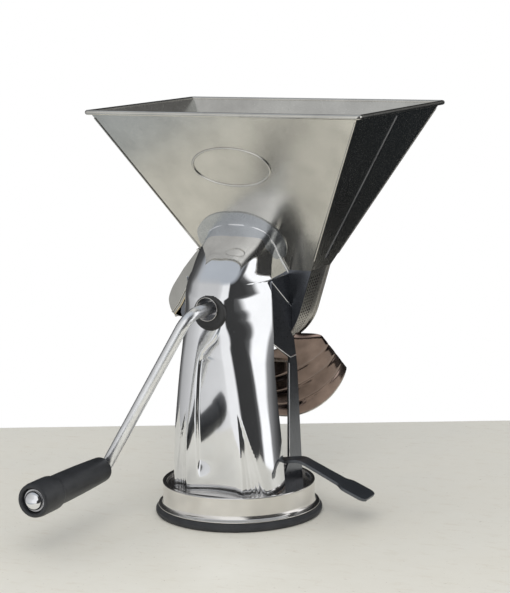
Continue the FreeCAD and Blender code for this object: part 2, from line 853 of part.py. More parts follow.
def drum_outline(radius):
    """Plate outline: hopper throat on top, round below, scoop side at left."""
    axis_z = number(S.crank_height)
    left = number(S.hopper_offset_x - S.throat_length / 2)
    right = number(S.hopper_offset_x + S.throat_length / 2)
    top = number(THROAT_Z)
    rise = top - axis_z
    aim = math.atan2(rise, right)
    touch = aim - math.acos(radius / math.hypot(right, rise))
    leave = math.radians(-128.0)

    def on_circle(angle):
        return Vec(radius * math.cos(angle), 0, axis_z + radius * math.sin(angle))

    reach = number(S.scoop_reach)
    seam = [Vec(-across * reach, 0, axis_z + up * reach) for across, up in SCOOP_SEAM]
    seam.append(Vec(left, 0, top))
    stops = [on_circle(leave)] + seam + [Vec(right, 0, top), on_circle(touch)]
    edges = [Part.LineSegment(a, b).toShape() for a, b in zip(stops, stops[1:])]
    edges.append(Part.Arc(on_circle(touch), on_circle((touch + leave) / 2),
                          on_circle(leave)).toShape())
    return Part.Wire(edges), seam


def drum_plate(start, hole_radius):
    wire, _ = drum_outline(number(S.drum_plate_radius))
    plate = Part.Face(wire).extrude(Y_AXIS * number(S.drum_sheet))
    plate.translate(Y_AXIS * start)
    hole = Part.makeCylinder(hole_radius, 4 * number(S.drum_sheet),
                             Vec(0, start - number(S.drum_sheet), number(S.crank_height)), Y_AXIS)
    return plate.cut(hole)


def drum_front_plate():
    start = number(S.throat_front_y)
    plate = drum_plate(start, number(S.shaft_radius + S.seat_gap))
    front = number(-S.shell_rear_y + S.seat_gap)
    inner = number(S.side_plate_x - S.gusset_sheet)
    top = number(NECK_Z - S.seat_gap)
    low = number(S.crank_height - S.panel_back_dip)
    outline = [(front, top), (start, top), (start, low)]
    for x in (inner, -number(S.side_plate_x)):
        gusset = closed_face(outline, "yz", x).extrude(X_AXIS * number(S.gusset_sheet))
        plate = plate.fuse(gusset)
    solid_feature("drum_front_plate", plate.removeSplitter())


def drum_rear_plate():
    start = number(S.throat_front_y + S.throat_depth - S.drum_sheet)
    solid_feature("drum_rear_plate", drum_plate(start, number(S.rear_bush_radius + S.run_gap)))


def screen():
    """Perforated sheet: straight from the throat, then round under the rotor."""
    axis = Vec(0, 0, number(S.crank_height))
    half = number(S.screen_sheet) / 2
    radius = number(S.screen_radius)
    right = number(S.hopper_offset_x + S.throat_length / 2 - S.screen_side_gap)
    rise = number(S.throat_rise - S.seat_gap)
    touch = math.atan2(rise, right) - math.acos(radius / math.hypot(right, rise))
    stop = math.radians(number(S.screen_end_angle) - 360.0)
    lift = Vec(math.cos(touch), 0, math.sin(touch))
    start = Vec(right, 0, rise)

    def on_circle(size, angle):
        return Vec(size * math.cos(angle), 0, size * math.sin(angle))

    outer, inner = radius + half, radius - half
    middle = (touch + stop) / 2
    edges = [
        Part.LineSegment(start + lift * half, on_circle(outer, touch)).toShape(),
        Part.Arc(on_circle(outer, touch), on_circle(outer, middle), on_circle(outer, stop)).toShape(),
        Part.LineSegment(on_circle(outer, stop), on_circle(inner, stop)).toShape(),
        Part.Arc(on_circle(inner, stop), on_circle(inner, middle), on_circle(inner, touch)).toShape(),
        Part.LineSegment(on_circle(inner, touch), start - lift * half).toShape(),
        Part.LineSegment(start - lift * half, start + lift * half).toShape(),
    ]
    front = number(S.throat_front_y + S.drum_sheet + S.seat_gap)
    back = number(S.throat_front_y + S.throat_depth - S.drum_sheet - S.seat_gap)
    sheet_metal = Part.Face(Part.Wire(edges)).extrude(Y_AXIS * (back - front))
    rows = int(round(number(S.screen_hole_rows)))
    across = int(round(number(S.screen_holes_across)))
    pitch = (back - front) / (across + 1)
    holes = []
    for row in range(rows):
        angle = touch - math.radians(number(S.screen_hole_step)) * (row + 0.6)
        if angle < stop + 0.1:
            continue
        for column in range(across):
            at = on_circle(inner - 2 * half, angle) + Y_AXIS * (pitch * (column + 1))
            holes.append(Part.makeCylinder(number(S.screen_hole_radius), 6 * half, at,
                                           on_circle(1.0, angle)))
    sheet_metal = sheet_metal.cut(Part.makeCompound(holes))
    sheet_metal.translate(axis + Y_AXIS * front)
    solid_feature("screen", sheet_metal)


def waste_scoop():
    """Hollow spout on the left of the drum, open towards the drum and below."""
    _, seam = drum_outline(number(S.drum_plate_radius))
    axis_z = number(S.crank_height)
    reach = number(S.scoop_reach)
    wall = number(S.scoop_sheet)
    gap = number(S.seat_gap)
    fold_z = number(THROAT_Z + S.scoop_fold_rise)
    top = Vec(hopper_corners(fold_z, 0.0)[0] - gap, 0, fold_z)
    inner_line = [point - X_AXIS * gap for point in seam[1:]]
    skin = [top] + [Vec(-across * reach, 0, axis_z + up * reach) for across, up in SCOOP_SKIN]
    bulge = Vec(-reach, 0, axis_z - 0.1 * reach)
    lip = Vec(-SCOOP_SEAM[1][0] * reach, 0, axis_z - number(S.scoop_drop))

    def profile(slide):
        places = [point + slide for point in skin]
        lines = [Part.LineSegment(a, b).toShape() for a, b in zip(places, places[1:])]
        return lines + [Part.Arc(places[-1], bulge + slide, lip + slide).toShape()]

    outer_edges = profile(Vec())
    closing = [lip] + inner_line + [top]
    outer_edges += [Part.LineSegment(a, b).toShape() for a, b in zip(closing, closing[1:])]
    length = number(S.throat_depth)
    block_shape = Part.Face(Part.Wire(outer_edges)).extrude(Y_AXIS * length)
    inwards = Vec(1.1 * wall, 0, -0.7 * wall)
    room_edges = profile(inwards)
    closing = [lip + inwards, Vec(0, 0, lip.z - reach), Vec(0, 0, top.z) + inwards, top + inwards]
    room_edges += [Part.LineSegment(a, b).toShape() for a, b in zip(closing, closing[1:])]
    room = Part.Face(Part.Wire(room_edges)).extrude(Y_AXIS * (length - 2 * wall))
    room.translate(Y_AXIS * wall)
    spout = block_shape.cut(room)
    spout.translate(Y_AXIS * number(S.throat_front_y))
    solid_feature("waste_scoop", spout)


# ---------------------------------------------------------------- juice chute

def chute_tail_bottom():
    return S.chute_start_depth - S.chute_tail_lift


def chute_point(along, above):
    """Back and height of a point of the chute's middle plane."""
    cos, sin = wave("cos", S.chute_slope), wave("sin", S.chute_slope)
    return (S.chute_edge_y + along * cos + above * sin,
            CHUTE_Z - along * sin + above * cos)


def chute_section(along, half_width, start, depth, power, inset):
    """A U across the flow; a low power makes its flanks straighter."""
    steps = 9
    points = []
    for step in range(steps):
        share = -1.0 + 2.0 * step / (steps - 1)
        angle = math.pi / 2 * (1 + share)
        x = -(half_width - inset) * math.copysign(
            abs(math.cos(angle)) ** (2 / power), math.cos(angle))
        drop = (depth - inset) * abs(math.sin(angle)) ** (2 / power)
        back, height = chute_point(along, start - drop)
        points.append(Vec(x, number(back), number(height)))
    curve = Part.BSplineCurve()
    curve.interpolate(points)
    return curve, points


def juice_chute():
    sheet_metal = number(S.chute_sheet)
    length = number(S.chute_length)
    half = number(S.chute_half_width)
    grow = number(S.chute_lip_depth - S.chute_start_depth)
    start = number(S.chute_start_depth)
    tail_drop = number(S.chute_tail_drop)
    table = [(-number(S.chute_tail), number(S.chute_tail_half_width), -tail_drop,
              number(chute_tail_bottom()) - tail_drop, 1.6)]
    for share in (0.0, 0.33, 0.66, 1.0):
        table.append((length * share, half + share, 0.0, start + grow * share,
                      1.4 + 0.6 * share ** 1.5))
    wires = []
    for along, width, first, depth, power in table:
        outer, outer_points = chute_section(along, width, first, depth, power, 0.0)
        inner, inner_points = chute_section(along, width, first, depth, power, sheet_metal)
        edges = [
            outer.toShape(),
            Part.LineSegment(outer_points[-1], inner_points[-1]).toShape(),
            inner.toShape(),
            Part.LineSegment(inner_points[0], outer_points[0]).toShape(),
        ]
        wires.append(Part.Wire(edges))
    trough = Part.makeLoft(wires, True, True)
    tail = [number(value) for value in chute_point(-S.chute_tail, -chute_tail_bottom())]
    face = number(S.throat_front_y - S.seat_gap)
    width = number(S.chute_tongue_width)
    front = face - sheet_metal
    low = tail[1] - sheet_metal / 2
    lap = tail[0] + number(S.chute_tongue_lap)
    outline = [(front, low), (lap, low), (lap, low + sheet_metal),
               (face, low + sheet_metal), (face, low + number(S.chute_tongue_height)),
               (front, low + number(S.chute_tongue_height))]
    hook = closed_face(outline, "yz", -width / 2).extrude(X_AXIS * width)
    solid_feature("juice_chute", trough.fuse(hook))


# ---------------------------------------------------------------- crank line

def tube(label, inner, outer, start, length):
    """A plain ring or tube on the crank line, from a place along Y."""
    turned(label, [(inner, 0), (outer, 0), (outer, length), (inner, length)],
           (0, start, S.crank_height), BACKWARDS)


def bearings():
    bore = S.shaft_radius + S.run_gap
    sleeve_bore = S.sleeve_radius - S.sleeve_wall
    tube("bearing_sleeve", sleeve_bore, S.sleeve_radius, -S.sleeve_front,
         S.sleeve_front + S.throat_front_y)
    collar = turned("front_collar_blank", [
        (0, 0),
        (S.collar_radius - S.collar_round, 0),
        (S.collar_radius, S.collar_round),
        (S.collar_radius, S.collar_length),
        (0, S.collar_length),
    ], (S.collar_shift, -S.collar_front, S.crank_height - S.collar_sag), BACKWARDS)
    PIECES.remove(collar)
    collar_bore = rod("collar_bore", S.sleeve_radius + S.press_gap, 3 * S.collar_length,
                      (0, -S.collar_front - S.collar_length, S.crank_height), BACKWARDS)
    keep(less("collar_drilled", collar, collar_bore), "front_collar")
    fit = sleeve_bore - S.press_gap
    bushes = []
    for index, start in enumerate((-S.shaft_front + S.bush_inset,
                                   S.throat_front_y - S.bush_length - S.bush_inset)):
        outside = rod("bush_out_%d" % index, fit, S.bush_length,
                      (0, start, S.crank_height), BACKWARDS)
        inside = rod("bush_in_%d" % index, bore, S.bush_length,
                     (0, start, S.crank_height), BACKWARDS)
        bushes.append(less("bush_%d" % index, outside, inside))
    group = doc.addObject("Part::Compound", "bush_group")
    group.Links = bushes
    keep(group, "sleeve_bushes")
    back = S.throat_front_y + S.throat_depth
    turned("rear_bush", [
        (bore, 0),
        (S.rear_bush_radius, 0),
        (S.rear_bush_radius, S.drum_sheet),
        (S.rear_bush_flange, S.drum_sheet),
        (S.rear_bush_flange, S.drum_sheet + S.rear_bush_flange_height),
        (bore, S.drum_sheet + S.rear_bush_flange_height),
    ], (0, back - S.drum_sheet, S.crank_height), BACKWARDS)


def rotor_shaft():
    back = S.throat_front_y + S.throat_depth + S.rear_bush_flange_height
    shoulder = back + 2 * S.seat_gap + S.washer_thickness
    length = shoulder + S.shaft_front
    socket = S.shaft_front - S.rod_seat + S.washer_thickness
    body = doc.addObject("PartDesign::Body", "shaft_blank")
    sketch = polygon_sketch(body, "XZ_Plane", [
        (S.rod_radius + S.press_gap, 0),
        (S.shaft_radius, 0),
        (S.shaft_radius, length),
        (S.shaft_end_radius, length),
        (S.shaft_end_radius, length + S.shaft_end_length),
        (0, length + S.shaft_end_length),
        (0, socket),
        (S.rod_radius + S.press_gap, socket),
    ])
    spin = body.newObject("PartDesign::Revolution", "shaft_turned")
    spin.Profile = sketch
    spin.ReferenceAxis = (sketch, ["V_Axis"])
    spin.Angle = 360
    body.Tip = spin
    put(body, (0, -S.shaft_front, S.crank_height), BACKWARDS)
    keep(less("shaft_drilled", body, cross_bore("shaft_cross_bore")), "rotor_shaft")
    tube("shaft_washer", S.shaft_radius + S.run_gap, S.rear_bush_flange - 1.0,
         back + S.seat_gap, S.washer_thickness)
    nut = doc.addObject("Part::Prism", "nut_blank")
    nut.Polygon = 6
    bind(nut, "Circumradius", 1.9 * S.shaft_end_radius)
    bind(nut, "Height", S.shaft_end_length - 2 * S.seat_gap - 0.4)
    put(nut, (0, shoulder + S.seat_gap, S.crank_height), BACKWARDS)
    bore = rod("nut_bore", S.shaft_end_radius + S.press_gap, 2 * S.shaft_end_length,
               (0, shoulder - S.shaft_end_length / 2, S.crank_height), BACKWARDS)
    keep(less("nut_drilled", nut, bore), "shaft_nut")


def cross_place():
    return -(S.shaft_front + S.rod_seat) / 2


def cross_bore(name):
    reach = 2 * S.shaft_radius
    return rod(name, S.cross_pin_radius + S.press_gap, 2 * reach,
               (0, cross_place(), S.crank_height - reach))


def crank_rod():
    """Round bar: straight out of the shaft, down the arm, out to the grip."""
    axis = number(S.crank_height)
    arm = math.radians(number(S.arm_angle))
    out = -number(S.rod_bend_y)
    along = Vec(-math.sin(arm), 0, -math.cos(arm))
    start = Vec(0, -number(S.rod_seat), axis)
    elbow = Vec(0, out, axis)
    hand = elbow + along * number(S.arm_radius)
    end = Vec(hand.x, grip_end_y(), hand.z)
    front = Vec(0, -1, 0)
    first = number(S.rod_elbow_radius)
    second = number(S.rod_grip_bend)
    pull = 1 - math.sqrt(0.5)
    stops = [
        (elbow - front * first, elbow + (along - front) * (first * pull), elbow + along * first),
        (hand - along * second, hand + (front - along) * (second * pull), hand + front * second),
    ]
    edges = [
        Part.LineSegment(start, stops[0][0]).toShape(),
        Part.Arc(*stops[0]).toShape(),
        Part.LineSegment(stops[0][2], stops[1][0]).toShape(),
        Part.Arc(*stops[1]).toShape(),
        Part.LineSegment(stops[1][2], end).toShape(),
    ]
    ring = Part.Wire(Part.makeCircle(number(S.rod_radius), start, front))
    bar = Part.Wire(edges).makePipeShell([ring], True, False)
    pin = number(S.cross_pin_radius + S.press_gap)
    through = 2 * number(S.shaft_radius)
    bore = Part.makeCylinder(pin, 2 * through, Vec(0, number(cross_place()), axis - through),
                             Z_AXIS)
    solid_feature("crank_rod", bar.cut(bore))
    length = 2 * (S.shaft_radius - S.seat_gap)
    pin_shape = rod("crank_pin", S.cross_pin_radius, length,
                    (0, cross_place(), S.crank_height - length / 2))
    keep(pin_shape, "crank_pin")


def grip_start_y():
    return -(S.rod_bend_y + S.rod_grip_bend + S.grip_end_gap)


def grip_end_y():
    recess = S.grip_recess_depth - 2 * S.seat_gap - S.washer_thickness
    return number(grip_start_y() - S.grip_length + recess)


def grip_axis():
    x = -S.arm_radius * wave("sin", S.arm_angle)
    z = S.crank_height - S.arm_radius * wave("cos", S.arm_angle)
    return x, z


def handle():
    x, z = grip_axis()
    bore = S.rod_radius + S.run_gap
    step = S.grip_length - S.grip_collar_length
    turned("handle_grip", [
        (bore, 0),
        (S.grip_neck_radius - S.grip_end_round, 0),
        (S.grip_neck_radius, S.grip_end_round),
        (S.grip_waist_radius, step / 2),
        (S.grip_waist_radius, step - S.grip_end_round),
        (S.grip_collar_radius, step),
        (S.grip_collar_radius, S.grip_length - S.grip_end_round),
        (S.grip_collar_radius - S.grip_end_round, S.grip_length),
        (S.grip_recess_radius, S.grip_length),
        (S.grip_recess_radius, S.grip_length - S.grip_recess_depth),
        (bore, S.grip_length - S.grip_recess_depth),
    ], (x, grip_start_y(), z), FORWARDS)
    floor = grip_start_y() - S.grip_length + S.grip_recess_depth
    turned("grip_washer", [
        (S.rod_radius + S.press_gap, 0),
        (S.rivet_radius + 1.0, 0),
        (S.rivet_radius + 1.0, S.washer_thickness),
        (S.rod_radius + S.press_gap, S.washer_thickness),
    ], (x, floor - S.seat_gap, z), FORWARDS)
    seat = floor - 2 * S.seat_gap - S.washer_thickness
    dome = [(S.rivet_radius * wave("sin", angle), S.rivet_height * wave("cos", angle))
            for angle in (90.0, 72.0, 54.0, 36.0, 18.0)]
    turned("grip_rivet", [(0, 0)] + [(dome[0][0], 0)] + dome[1:] + [(0, S.rivet_height)],
           (x, seat, z), FORWARDS)


# ---------------------------------------------------------------- rotor

def paddle_pivot(side):
    angle = S.paddle_angle + 180.0 * side
    return (S.paddle_pivot_radius * wave("cos", angle),
            S.crank_height + S.paddle_pivot_radius * wave("sin", angle))


def rotor():
    front = S.throat_front_y + S.drum_sheet + S.hub_end_gap
    back = S.throat_front_y + S.throat_depth - S.drum_sheet - S.hub_end_gap
    disc = S.hub_disc_sheet
    core = rod("hub_core", S.hub_radius, back - front, (0, front, S.crank_height), BACKWARDS)
    discs = [rod("hub_disc_%d" % index, S.hub_disc_radius, disc,
                 (0, start, S.crank_height), BACKWARDS)
             for index, start in enumerate((front, back - disc))]
    bore = rod("hub_bore", S.shaft_radius + S.press_gap, 2 * (back - front),
               (0, 0, S.crank_height), BACKWARDS)
    holes = []
    pins = []
    springs = []
    for side in (0, 1):
        x, z = paddle_pivot(side)
        name = "%d" % (side + 1)
        holes.append(rod("hub_pin_hole_" + name, S.paddle_pin_radius + S.press_gap,
                         2 * (back - front), (x, 0, z), BACKWARDS))
        pins.append(rod("paddle_pin_" + name, S.paddle_pin_radius, back - front,
                        (x, front, z), BACKWARDS))
        turn = FreeCAD.Rotation(Y_AXIS, -(number(S.paddle_angle) + 180.0 * side))
        blade_front = front + disc + S.seat_gap
        blade_back = back - disc - S.seat_gap
        knuckle = rod("knuckle_" + name, S.paddle_knuckle_radius,
                      blade_back - blade_front - 2 * (S.spring_length + 2 * S.seat_gap),
                      (0, blade_front + S.spring_length + 2 * S.seat_gap, 0), BACKWARDS)
        blade = block("blade_" + name,
                      (S.paddle_knuckle_radius, blade_front, -S.paddle_sheet / 2),
                      (S.paddle_tip_radius - S.paddle_pivot_radius, blade_back,
                       S.paddle_sheet / 2))
        root = block("blade_root_" + name,
                     (0, blade_front + 2 * S.spring_length, -S.paddle_sheet / 2),
                     (2 * S.paddle_knuckle_radius, blade_back - 2 * S.spring_length,
                      S.paddle_sheet / 2))
        eye = rod("paddle_eye_" + name, S.paddle_pin_radius + S.run_gap, 2 * (back - front),
                  (0, 0, 0), BACKWARDS)
        paddle = less("paddle_cut_" + name, fused("paddle_whole_" + name, knuckle, blade, root), eye)
        put(paddle, (x, 0, z), turn)
        keep(paddle, "paddle_" + name)
        for end, start in enumerate((blade_front, blade_back - S.spring_length)):
            coil = "spring_%s_%d" % (name, end)
            around = rod(coil + "_out", S.spring_radius, S.spring_length, (x, start, z), BACKWARDS)
            inside = rod(coil + "_in", S.paddle_pin_radius + 0.3, S.spring_length,
                         (x, start, z), BACKWARDS)
            springs.append(less(coil, around, inside))
    hub = less("hub_drilled", fused("hub_whole", core, *discs), bore, *holes)
    keep(hub, "rotor_hub")
    for name, links in (("paddle_pins", pins), ("paddle_springs", springs)):
        group = doc.addObject("Part::Compound", name + "_group")
        group.Links = links
        keep(group, name)


# ---------------------------------------------------------------- build and write

def build():
    suction_cup()
    base_ring()
    foot_plate()
    base_screws()
    plunger_guide()
    plunger()
    suction_lever()
    front_shell()
    side_plates()
    chute_rest()
    hopper_half("hopper_front_half", "front")
    hopper_half("hopper_rear_half", "rear")
    rim_wire()
    neck_flange()
    drum_front_plate()
    drum_rear_plate()
    screen()
    waste_scoop()
    juice_chute()
    bearings()
    rotor_shaft()
    crank_rod()
    handle()
    rotor()


def check():
    for item in doc.Objects:
        if "Invalid" in item.State or "Error" in item.State:
            raise RuntimeError("failed object: " + item.Label)
    for item in PIECES:
        if item.Shape.isNull() or not item.Shape.isValid():
            raise RuntimeError("bad shape: " + item.Label)


def write():
    os.makedirs("parts", exist_ok=True)
    for item in PIECES:
        item.Shape.exportStep("parts/%s.step" % item.Label)
        print(item.Label, len(item.Shape.Solids), round(item.Shape.Volume, 1))


build()
doc.recompute()
check()
write()
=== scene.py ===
import json
import math

import bpy
from mathutils import Matrix, Vector


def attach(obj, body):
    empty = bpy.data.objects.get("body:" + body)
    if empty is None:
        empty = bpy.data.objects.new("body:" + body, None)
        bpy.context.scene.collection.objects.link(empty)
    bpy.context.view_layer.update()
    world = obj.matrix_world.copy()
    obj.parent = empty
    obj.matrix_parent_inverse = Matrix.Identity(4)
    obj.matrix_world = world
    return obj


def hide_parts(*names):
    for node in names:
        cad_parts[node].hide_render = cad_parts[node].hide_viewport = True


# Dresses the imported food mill: finer skins for the pressed and drawn pieces,
# finishes for every piece, a stone table top and soft studio light.
# Lengths are in millimetres and go to metres in mesh_piece; the table, the light and
# the camera are placed in metres.

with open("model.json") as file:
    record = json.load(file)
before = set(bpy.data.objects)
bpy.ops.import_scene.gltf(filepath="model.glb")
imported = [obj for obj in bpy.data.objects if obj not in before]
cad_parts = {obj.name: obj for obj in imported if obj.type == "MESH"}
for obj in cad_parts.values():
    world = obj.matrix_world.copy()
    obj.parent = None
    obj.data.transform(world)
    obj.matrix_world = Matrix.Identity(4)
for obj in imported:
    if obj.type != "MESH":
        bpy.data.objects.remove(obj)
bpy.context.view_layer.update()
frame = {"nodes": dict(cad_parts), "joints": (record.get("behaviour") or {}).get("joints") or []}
NODES = frame["nodes"]
MM = 0.001


def joint_place(name):
    """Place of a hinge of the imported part, in millimetres."""
    joint = next(item for item in frame["joints"] if item["name"] == name)
    return [value / MM for value in joint["pos_m"]]


SHAFT_Z = joint_place("crank_spin")[2]
GRIP_X, _, GRIP_Z = joint_place("grip_spin")
LEVER_PIN_Z = joint_place("lever_turn")[2]

# The hopper: a funnel whose faces run straight from the throat to the rim.
HOPPER_X = 11.5
THROAT_Z, RIM_Z = 191.0, 316.2
THROAT_HALF, RIM_HALF = 42.2, 111.0
THROAT_FRONT, RIM_FRONT = 24.0, -46.4
THROAT_BACK, RIM_BACK = 62.0, 125.1


# ---- mesh tools

def mesh_piece(name, verts, faces, material, body, replaces=(), sharp=35.0):
    """A piece from millimetre vertices that rides on a CAD body."""
    mesh = bpy.data.meshes.new(name)
    mesh.from_pydata([tuple(c * MM for c in v) for v in verts], [], faces)
    mesh.validate()
    mesh.update()
    mesh.polygons.foreach_set("use_smooth", [True] * len(mesh.polygons))
    mesh.set_sharp_from_angle(angle=math.radians(sharp))
    mesh.materials.append(material)
    obj = bpy.data.objects.new(name, mesh)
    bpy.context.scene.collection.objects.link(obj)
    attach(obj, body)
    if replaces:
        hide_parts(*replaces)
    return obj


def bevel(obj, width):
    """Rounds a piece's sharp edges a little."""
    modifier = obj.modifiers.new("edge", "BEVEL")
    modifier.width = width * MM
    modifier.segments = 2
    modifier.limit_method = "ANGLE"
    modifier.angle_limit = math.radians(30)
    modifier.harden_normals = True
    return obj


NEARLY_STRAIGHT = math.radians(172)
EDGE_SHARE = 0.45


def fillet(points, radius, steps=4):
    """Rounds the corners of an open 2-D profile between its two ends."""
    result = []
    count = len(points)
    for index, point in enumerate(points):
        before = Vector(points[index - 1]) if index > 0 else None
        after = Vector(points[index + 1]) if index < count - 1 else None
        here = Vector(point)
        if before is None or after is None:
            result.append(tuple(here))
            continue
        a, b = before - here, after - here
        if a.length < 1e-6 or b.length < 1e-6 or a.angle(b) > NEARLY_STRAIGHT:
            result.append(tuple(here))
            continue
        reach = min(radius, a.length * EDGE_SHARE, b.length * EDGE_SHARE)
        start, end = here + a.normalized() * reach, here + b.normalized() * reach
        for step in range(steps + 1):
            t = step / steps
            spot = start * (1 - t) ** 2 + here * (2 * t * (1 - t)) + end * t ** 2
            result.append(tuple(spot))
    return result


def place_z(origin):
    """Local height runs along +Z."""
    ox, oy, oz = origin
    return lambda x, y, h: (ox + x, oy + y, oz + h)


def place_back(origin):
    """Local height runs along +Y."""
    ox, oy, oz = origin
    return lambda x, y, h: (ox + x, oy + h, oz - y)


def place_front(origin):
    """Local height runs along -Y."""
    ox, oy, oz = origin
    return lambda x, y, h: (ox + x, oy - h, oz + y)


def lathe(name, profile, place, material, body, replaces=(), segments=96, sharp=35.0,
          closed=False):
    """A turned piece from (radius, height) pairs; closed joins the last to the first."""
    verts, faces = [], []
    rings = []
    for radius, height in profile:
        if radius < 1e-6:
            rings.append([len(verts)])
            verts.append(place(0, 0, height))
            continue
        ring = []
        for step in range(segments):
            angle = 2 * math.pi * step / segments
            ring.append(len(verts))
            verts.append(place(radius * math.cos(angle), radius * math.sin(angle), height))
        rings.append(ring)
    pairs = list(zip(rings, rings[1:]))
    if closed:
        pairs.append((rings[-1], rings[0]))
    for low, high in pairs:
        for step in range(segments):
            after = (step + 1) % segments
            if len(low) == 1 and len(high) == 1:
                continue
            if len(low) == 1:
                faces.append((low[0], high[after], high[step]))
            elif len(high) == 1:
                faces.append((low[step], low[after], high[0]))
            else:
                faces.append((low[step], low[after], high[after], high[step]))
    return mesh_piece(name, verts, faces, material, body, replaces, sharp)


def sheet(name, outer, material, body, thickness, replaces=(), sharp=40.0, skip=None):
    """A closed sheet from a grid of outer points; the inner side is offset inwards."""
    rows, cols = len(outer), len(outer[0])
    pts = [[Vector(p) for p in row] for row in outer]
    verts = [tuple(p) for row in pts for p in row]
    for r in range(rows):
        for c in range(cols):
            du = pts[r][min(c + 1, cols - 1)] - pts[r][max(c - 1, 0)]
            dv = pts[min(r + 1, rows - 1)][c] - pts[max(r - 1, 0)][c]
            normal = du.cross(dv)
            normal = normal.normalized() if normal.length > 1e-9 else Vector((0, 0, 0))
            verts.append(tuple(pts[r][c] - normal * thickness))
    base = rows * cols
    faces = []
    for r in range(rows - 1):
        for c in range(cols - 1):
            a, b = r * cols + c, r * cols + c + 1
            d, e = a + cols, b + cols
            if skip and skip(r, c):
                continue
            faces.append((a, b, e, d))
            faces.append((base + a, base + d, base + e, base + b))
    for c in range(cols - 1):
        a, b = c, c + 1
        faces.append((a, base + a, base + b, b))
        a, b = (rows - 1) * cols + c, (rows - 1) * cols + c + 1
        faces.append((a, b, base + b, base + a))
    for r in range(rows - 1):
        a, b = r * cols, (r + 1) * cols
        faces.append((a, b, base + b, base + a))
        a, b = r * cols + cols - 1, (r + 1) * cols + cols - 1
        faces.append((a, base + a, base + b, b))
    return mesh_piece(name, verts, faces, material, body, replaces, sharp)


def plate(name, outline, at, plane, thickness, material, body):
    """An extruded outline in the XZ or YZ plane with slightly rounded edges."""
    def spot(u, v, w):
        return (at + w, u, v) if plane == "yz" else (u, at + w, v)

    count = len(outline)
    verts = [spot(u, v, 0) for u, v in outline] + [spot(u, v, thickness) for u, v in outline]
    faces = [tuple(reversed(range(count))), tuple(range(count, 2 * count))]
    for i in range(count):
        j = (i + 1) % count
        faces.append((i, j, count + j, count + i))
    return bevel(mesh_piece(name, verts, faces, material, body, sharp=30.0), 0.2)


def sweep(path, radius, segments=20, closed=False):
    """Vertices and faces of a round bar along a path."""
    pts = [Vector(p) for p in path]
    count = len(pts)
    verts, faces = [], []
    normal = None
    for i, p in enumerate(pts):
        ahead = pts[(i + 1) % count] if closed or i < count - 1 else p
        behind = pts[i - 1] if closed or i > 0 else p
        tangent = (ahead - behind).normalized()
        if normal is None:
            helper = Vector((0, 0, 1)) if abs(tangent.z) < 0.9 else Vector((1, 0, 0))
            normal = (helper - tangent * helper.dot(tangent)).normalized()
        else:
            normal = (normal - tangent * normal.dot(tangent)).normalized()
        side = tangent.cross(normal)
        for s in range(segments):
            angle = 2 * math.pi * s / segments
            out = normal * math.cos(angle) + side * math.sin(angle)
            verts.append(tuple(p + out * radius))
    last = count if closed else count - 1
    for i in range(last):
        j = (i + 1) % count
        for s in range(segments):
            t = (s + 1) % segments
            faces.append((i * segments + s, i * segments + t, j * segments + t, j * segments + s))
    if not closed:
        faces.append(tuple(reversed(range(segments))))
        faces.append(tuple(range((count - 1) * segments, count * segments)))
    return verts, faces


def bar(name, path, radius, material, body, replaces=(), segments=20, closed=False):
    """A round bar as a piece of its own."""
    verts, faces = sweep(path, radius, segments, closed)
    return mesh_piece(name, verts, faces, material, body, replaces, 50.0)


def joined(name, parts, material, body, replaces=(), sharp=35.0):
    """One piece from several (vertices, faces) pairs."""
    verts, faces = [], []
    for some_verts, some_faces in parts:
        base = len(verts)
        verts += some_verts
        faces += [tuple(base + i for i in face) for face in some_faces]
    return mesh_piece(name, verts, faces, material, body, replaces, sharp)


def arc_path(points, radii, steps=10):
    """A polyline in space with its corners rounded to the given radii."""
    path = [Vector(points[0])]
    for index in range(1, len(points) - 1):
        here = Vector(points[index])
        back = (Vector(points[index - 1]) - here).normalized()
        ahead = (Vector(points[index + 1]) - here).normalized()
        half = back.angle(ahead) / 2
        radius = radii[index - 1]
        reach = radius / math.tan(half)
        centre = here + (back + ahead).normalized() * (radius / math.sin(half))
        start, end = here + back * reach, here + ahead * reach
        for step in range(steps + 1):
            t = step / steps
            arm = (start - centre).normalized().slerp((end - centre).normalized(), t)
            path.append(centre + arm * radius)
    path.append(Vector(points[-1]))
    return path


def smooth(t):
    """An eased step from 0 to 1."""
    t = max(0.0, min(1.0, t))
    return t * t * (3 - 2 * t)


def curve(table):
    """Smooth reading of an increasing (place, value) table without overshoot."""
    xs = [a for a, _ in table]
    ys = [b for _, b in table]
    slopes = [(ys[i + 1] - ys[i]) / (xs[i + 1] - xs[i]) for i in range(len(xs) - 1)]
    tangents = [slopes[0]]
    for left, right in zip(slopes, slopes[1:]):
        tangents.append(0.0 if left * right <= 0 else 2 * left * right / (left + right))
    tangents.append(slopes[-1])

    def read(x):
        if x <= xs[0]:
            return ys[0]
        if x >= xs[-1]:
            return ys[-1]
        i = max(k for k in range(len(xs) - 1) if xs[k] <= x)
        h = xs[i + 1] - xs[i]
        t = (x - xs[i]) / h
        value = (2 * t ** 3 - 3 * t ** 2 + 1) * ys[i] + (3 * t ** 2 - 2 * t ** 3) * ys[i + 1]
        slope = (t ** 3 - 2 * t ** 2 + t) * tangents[i] + (t ** 3 - t ** 2) * tangents[i + 1]
        return value + h * slope
    return read


# ---- finishes

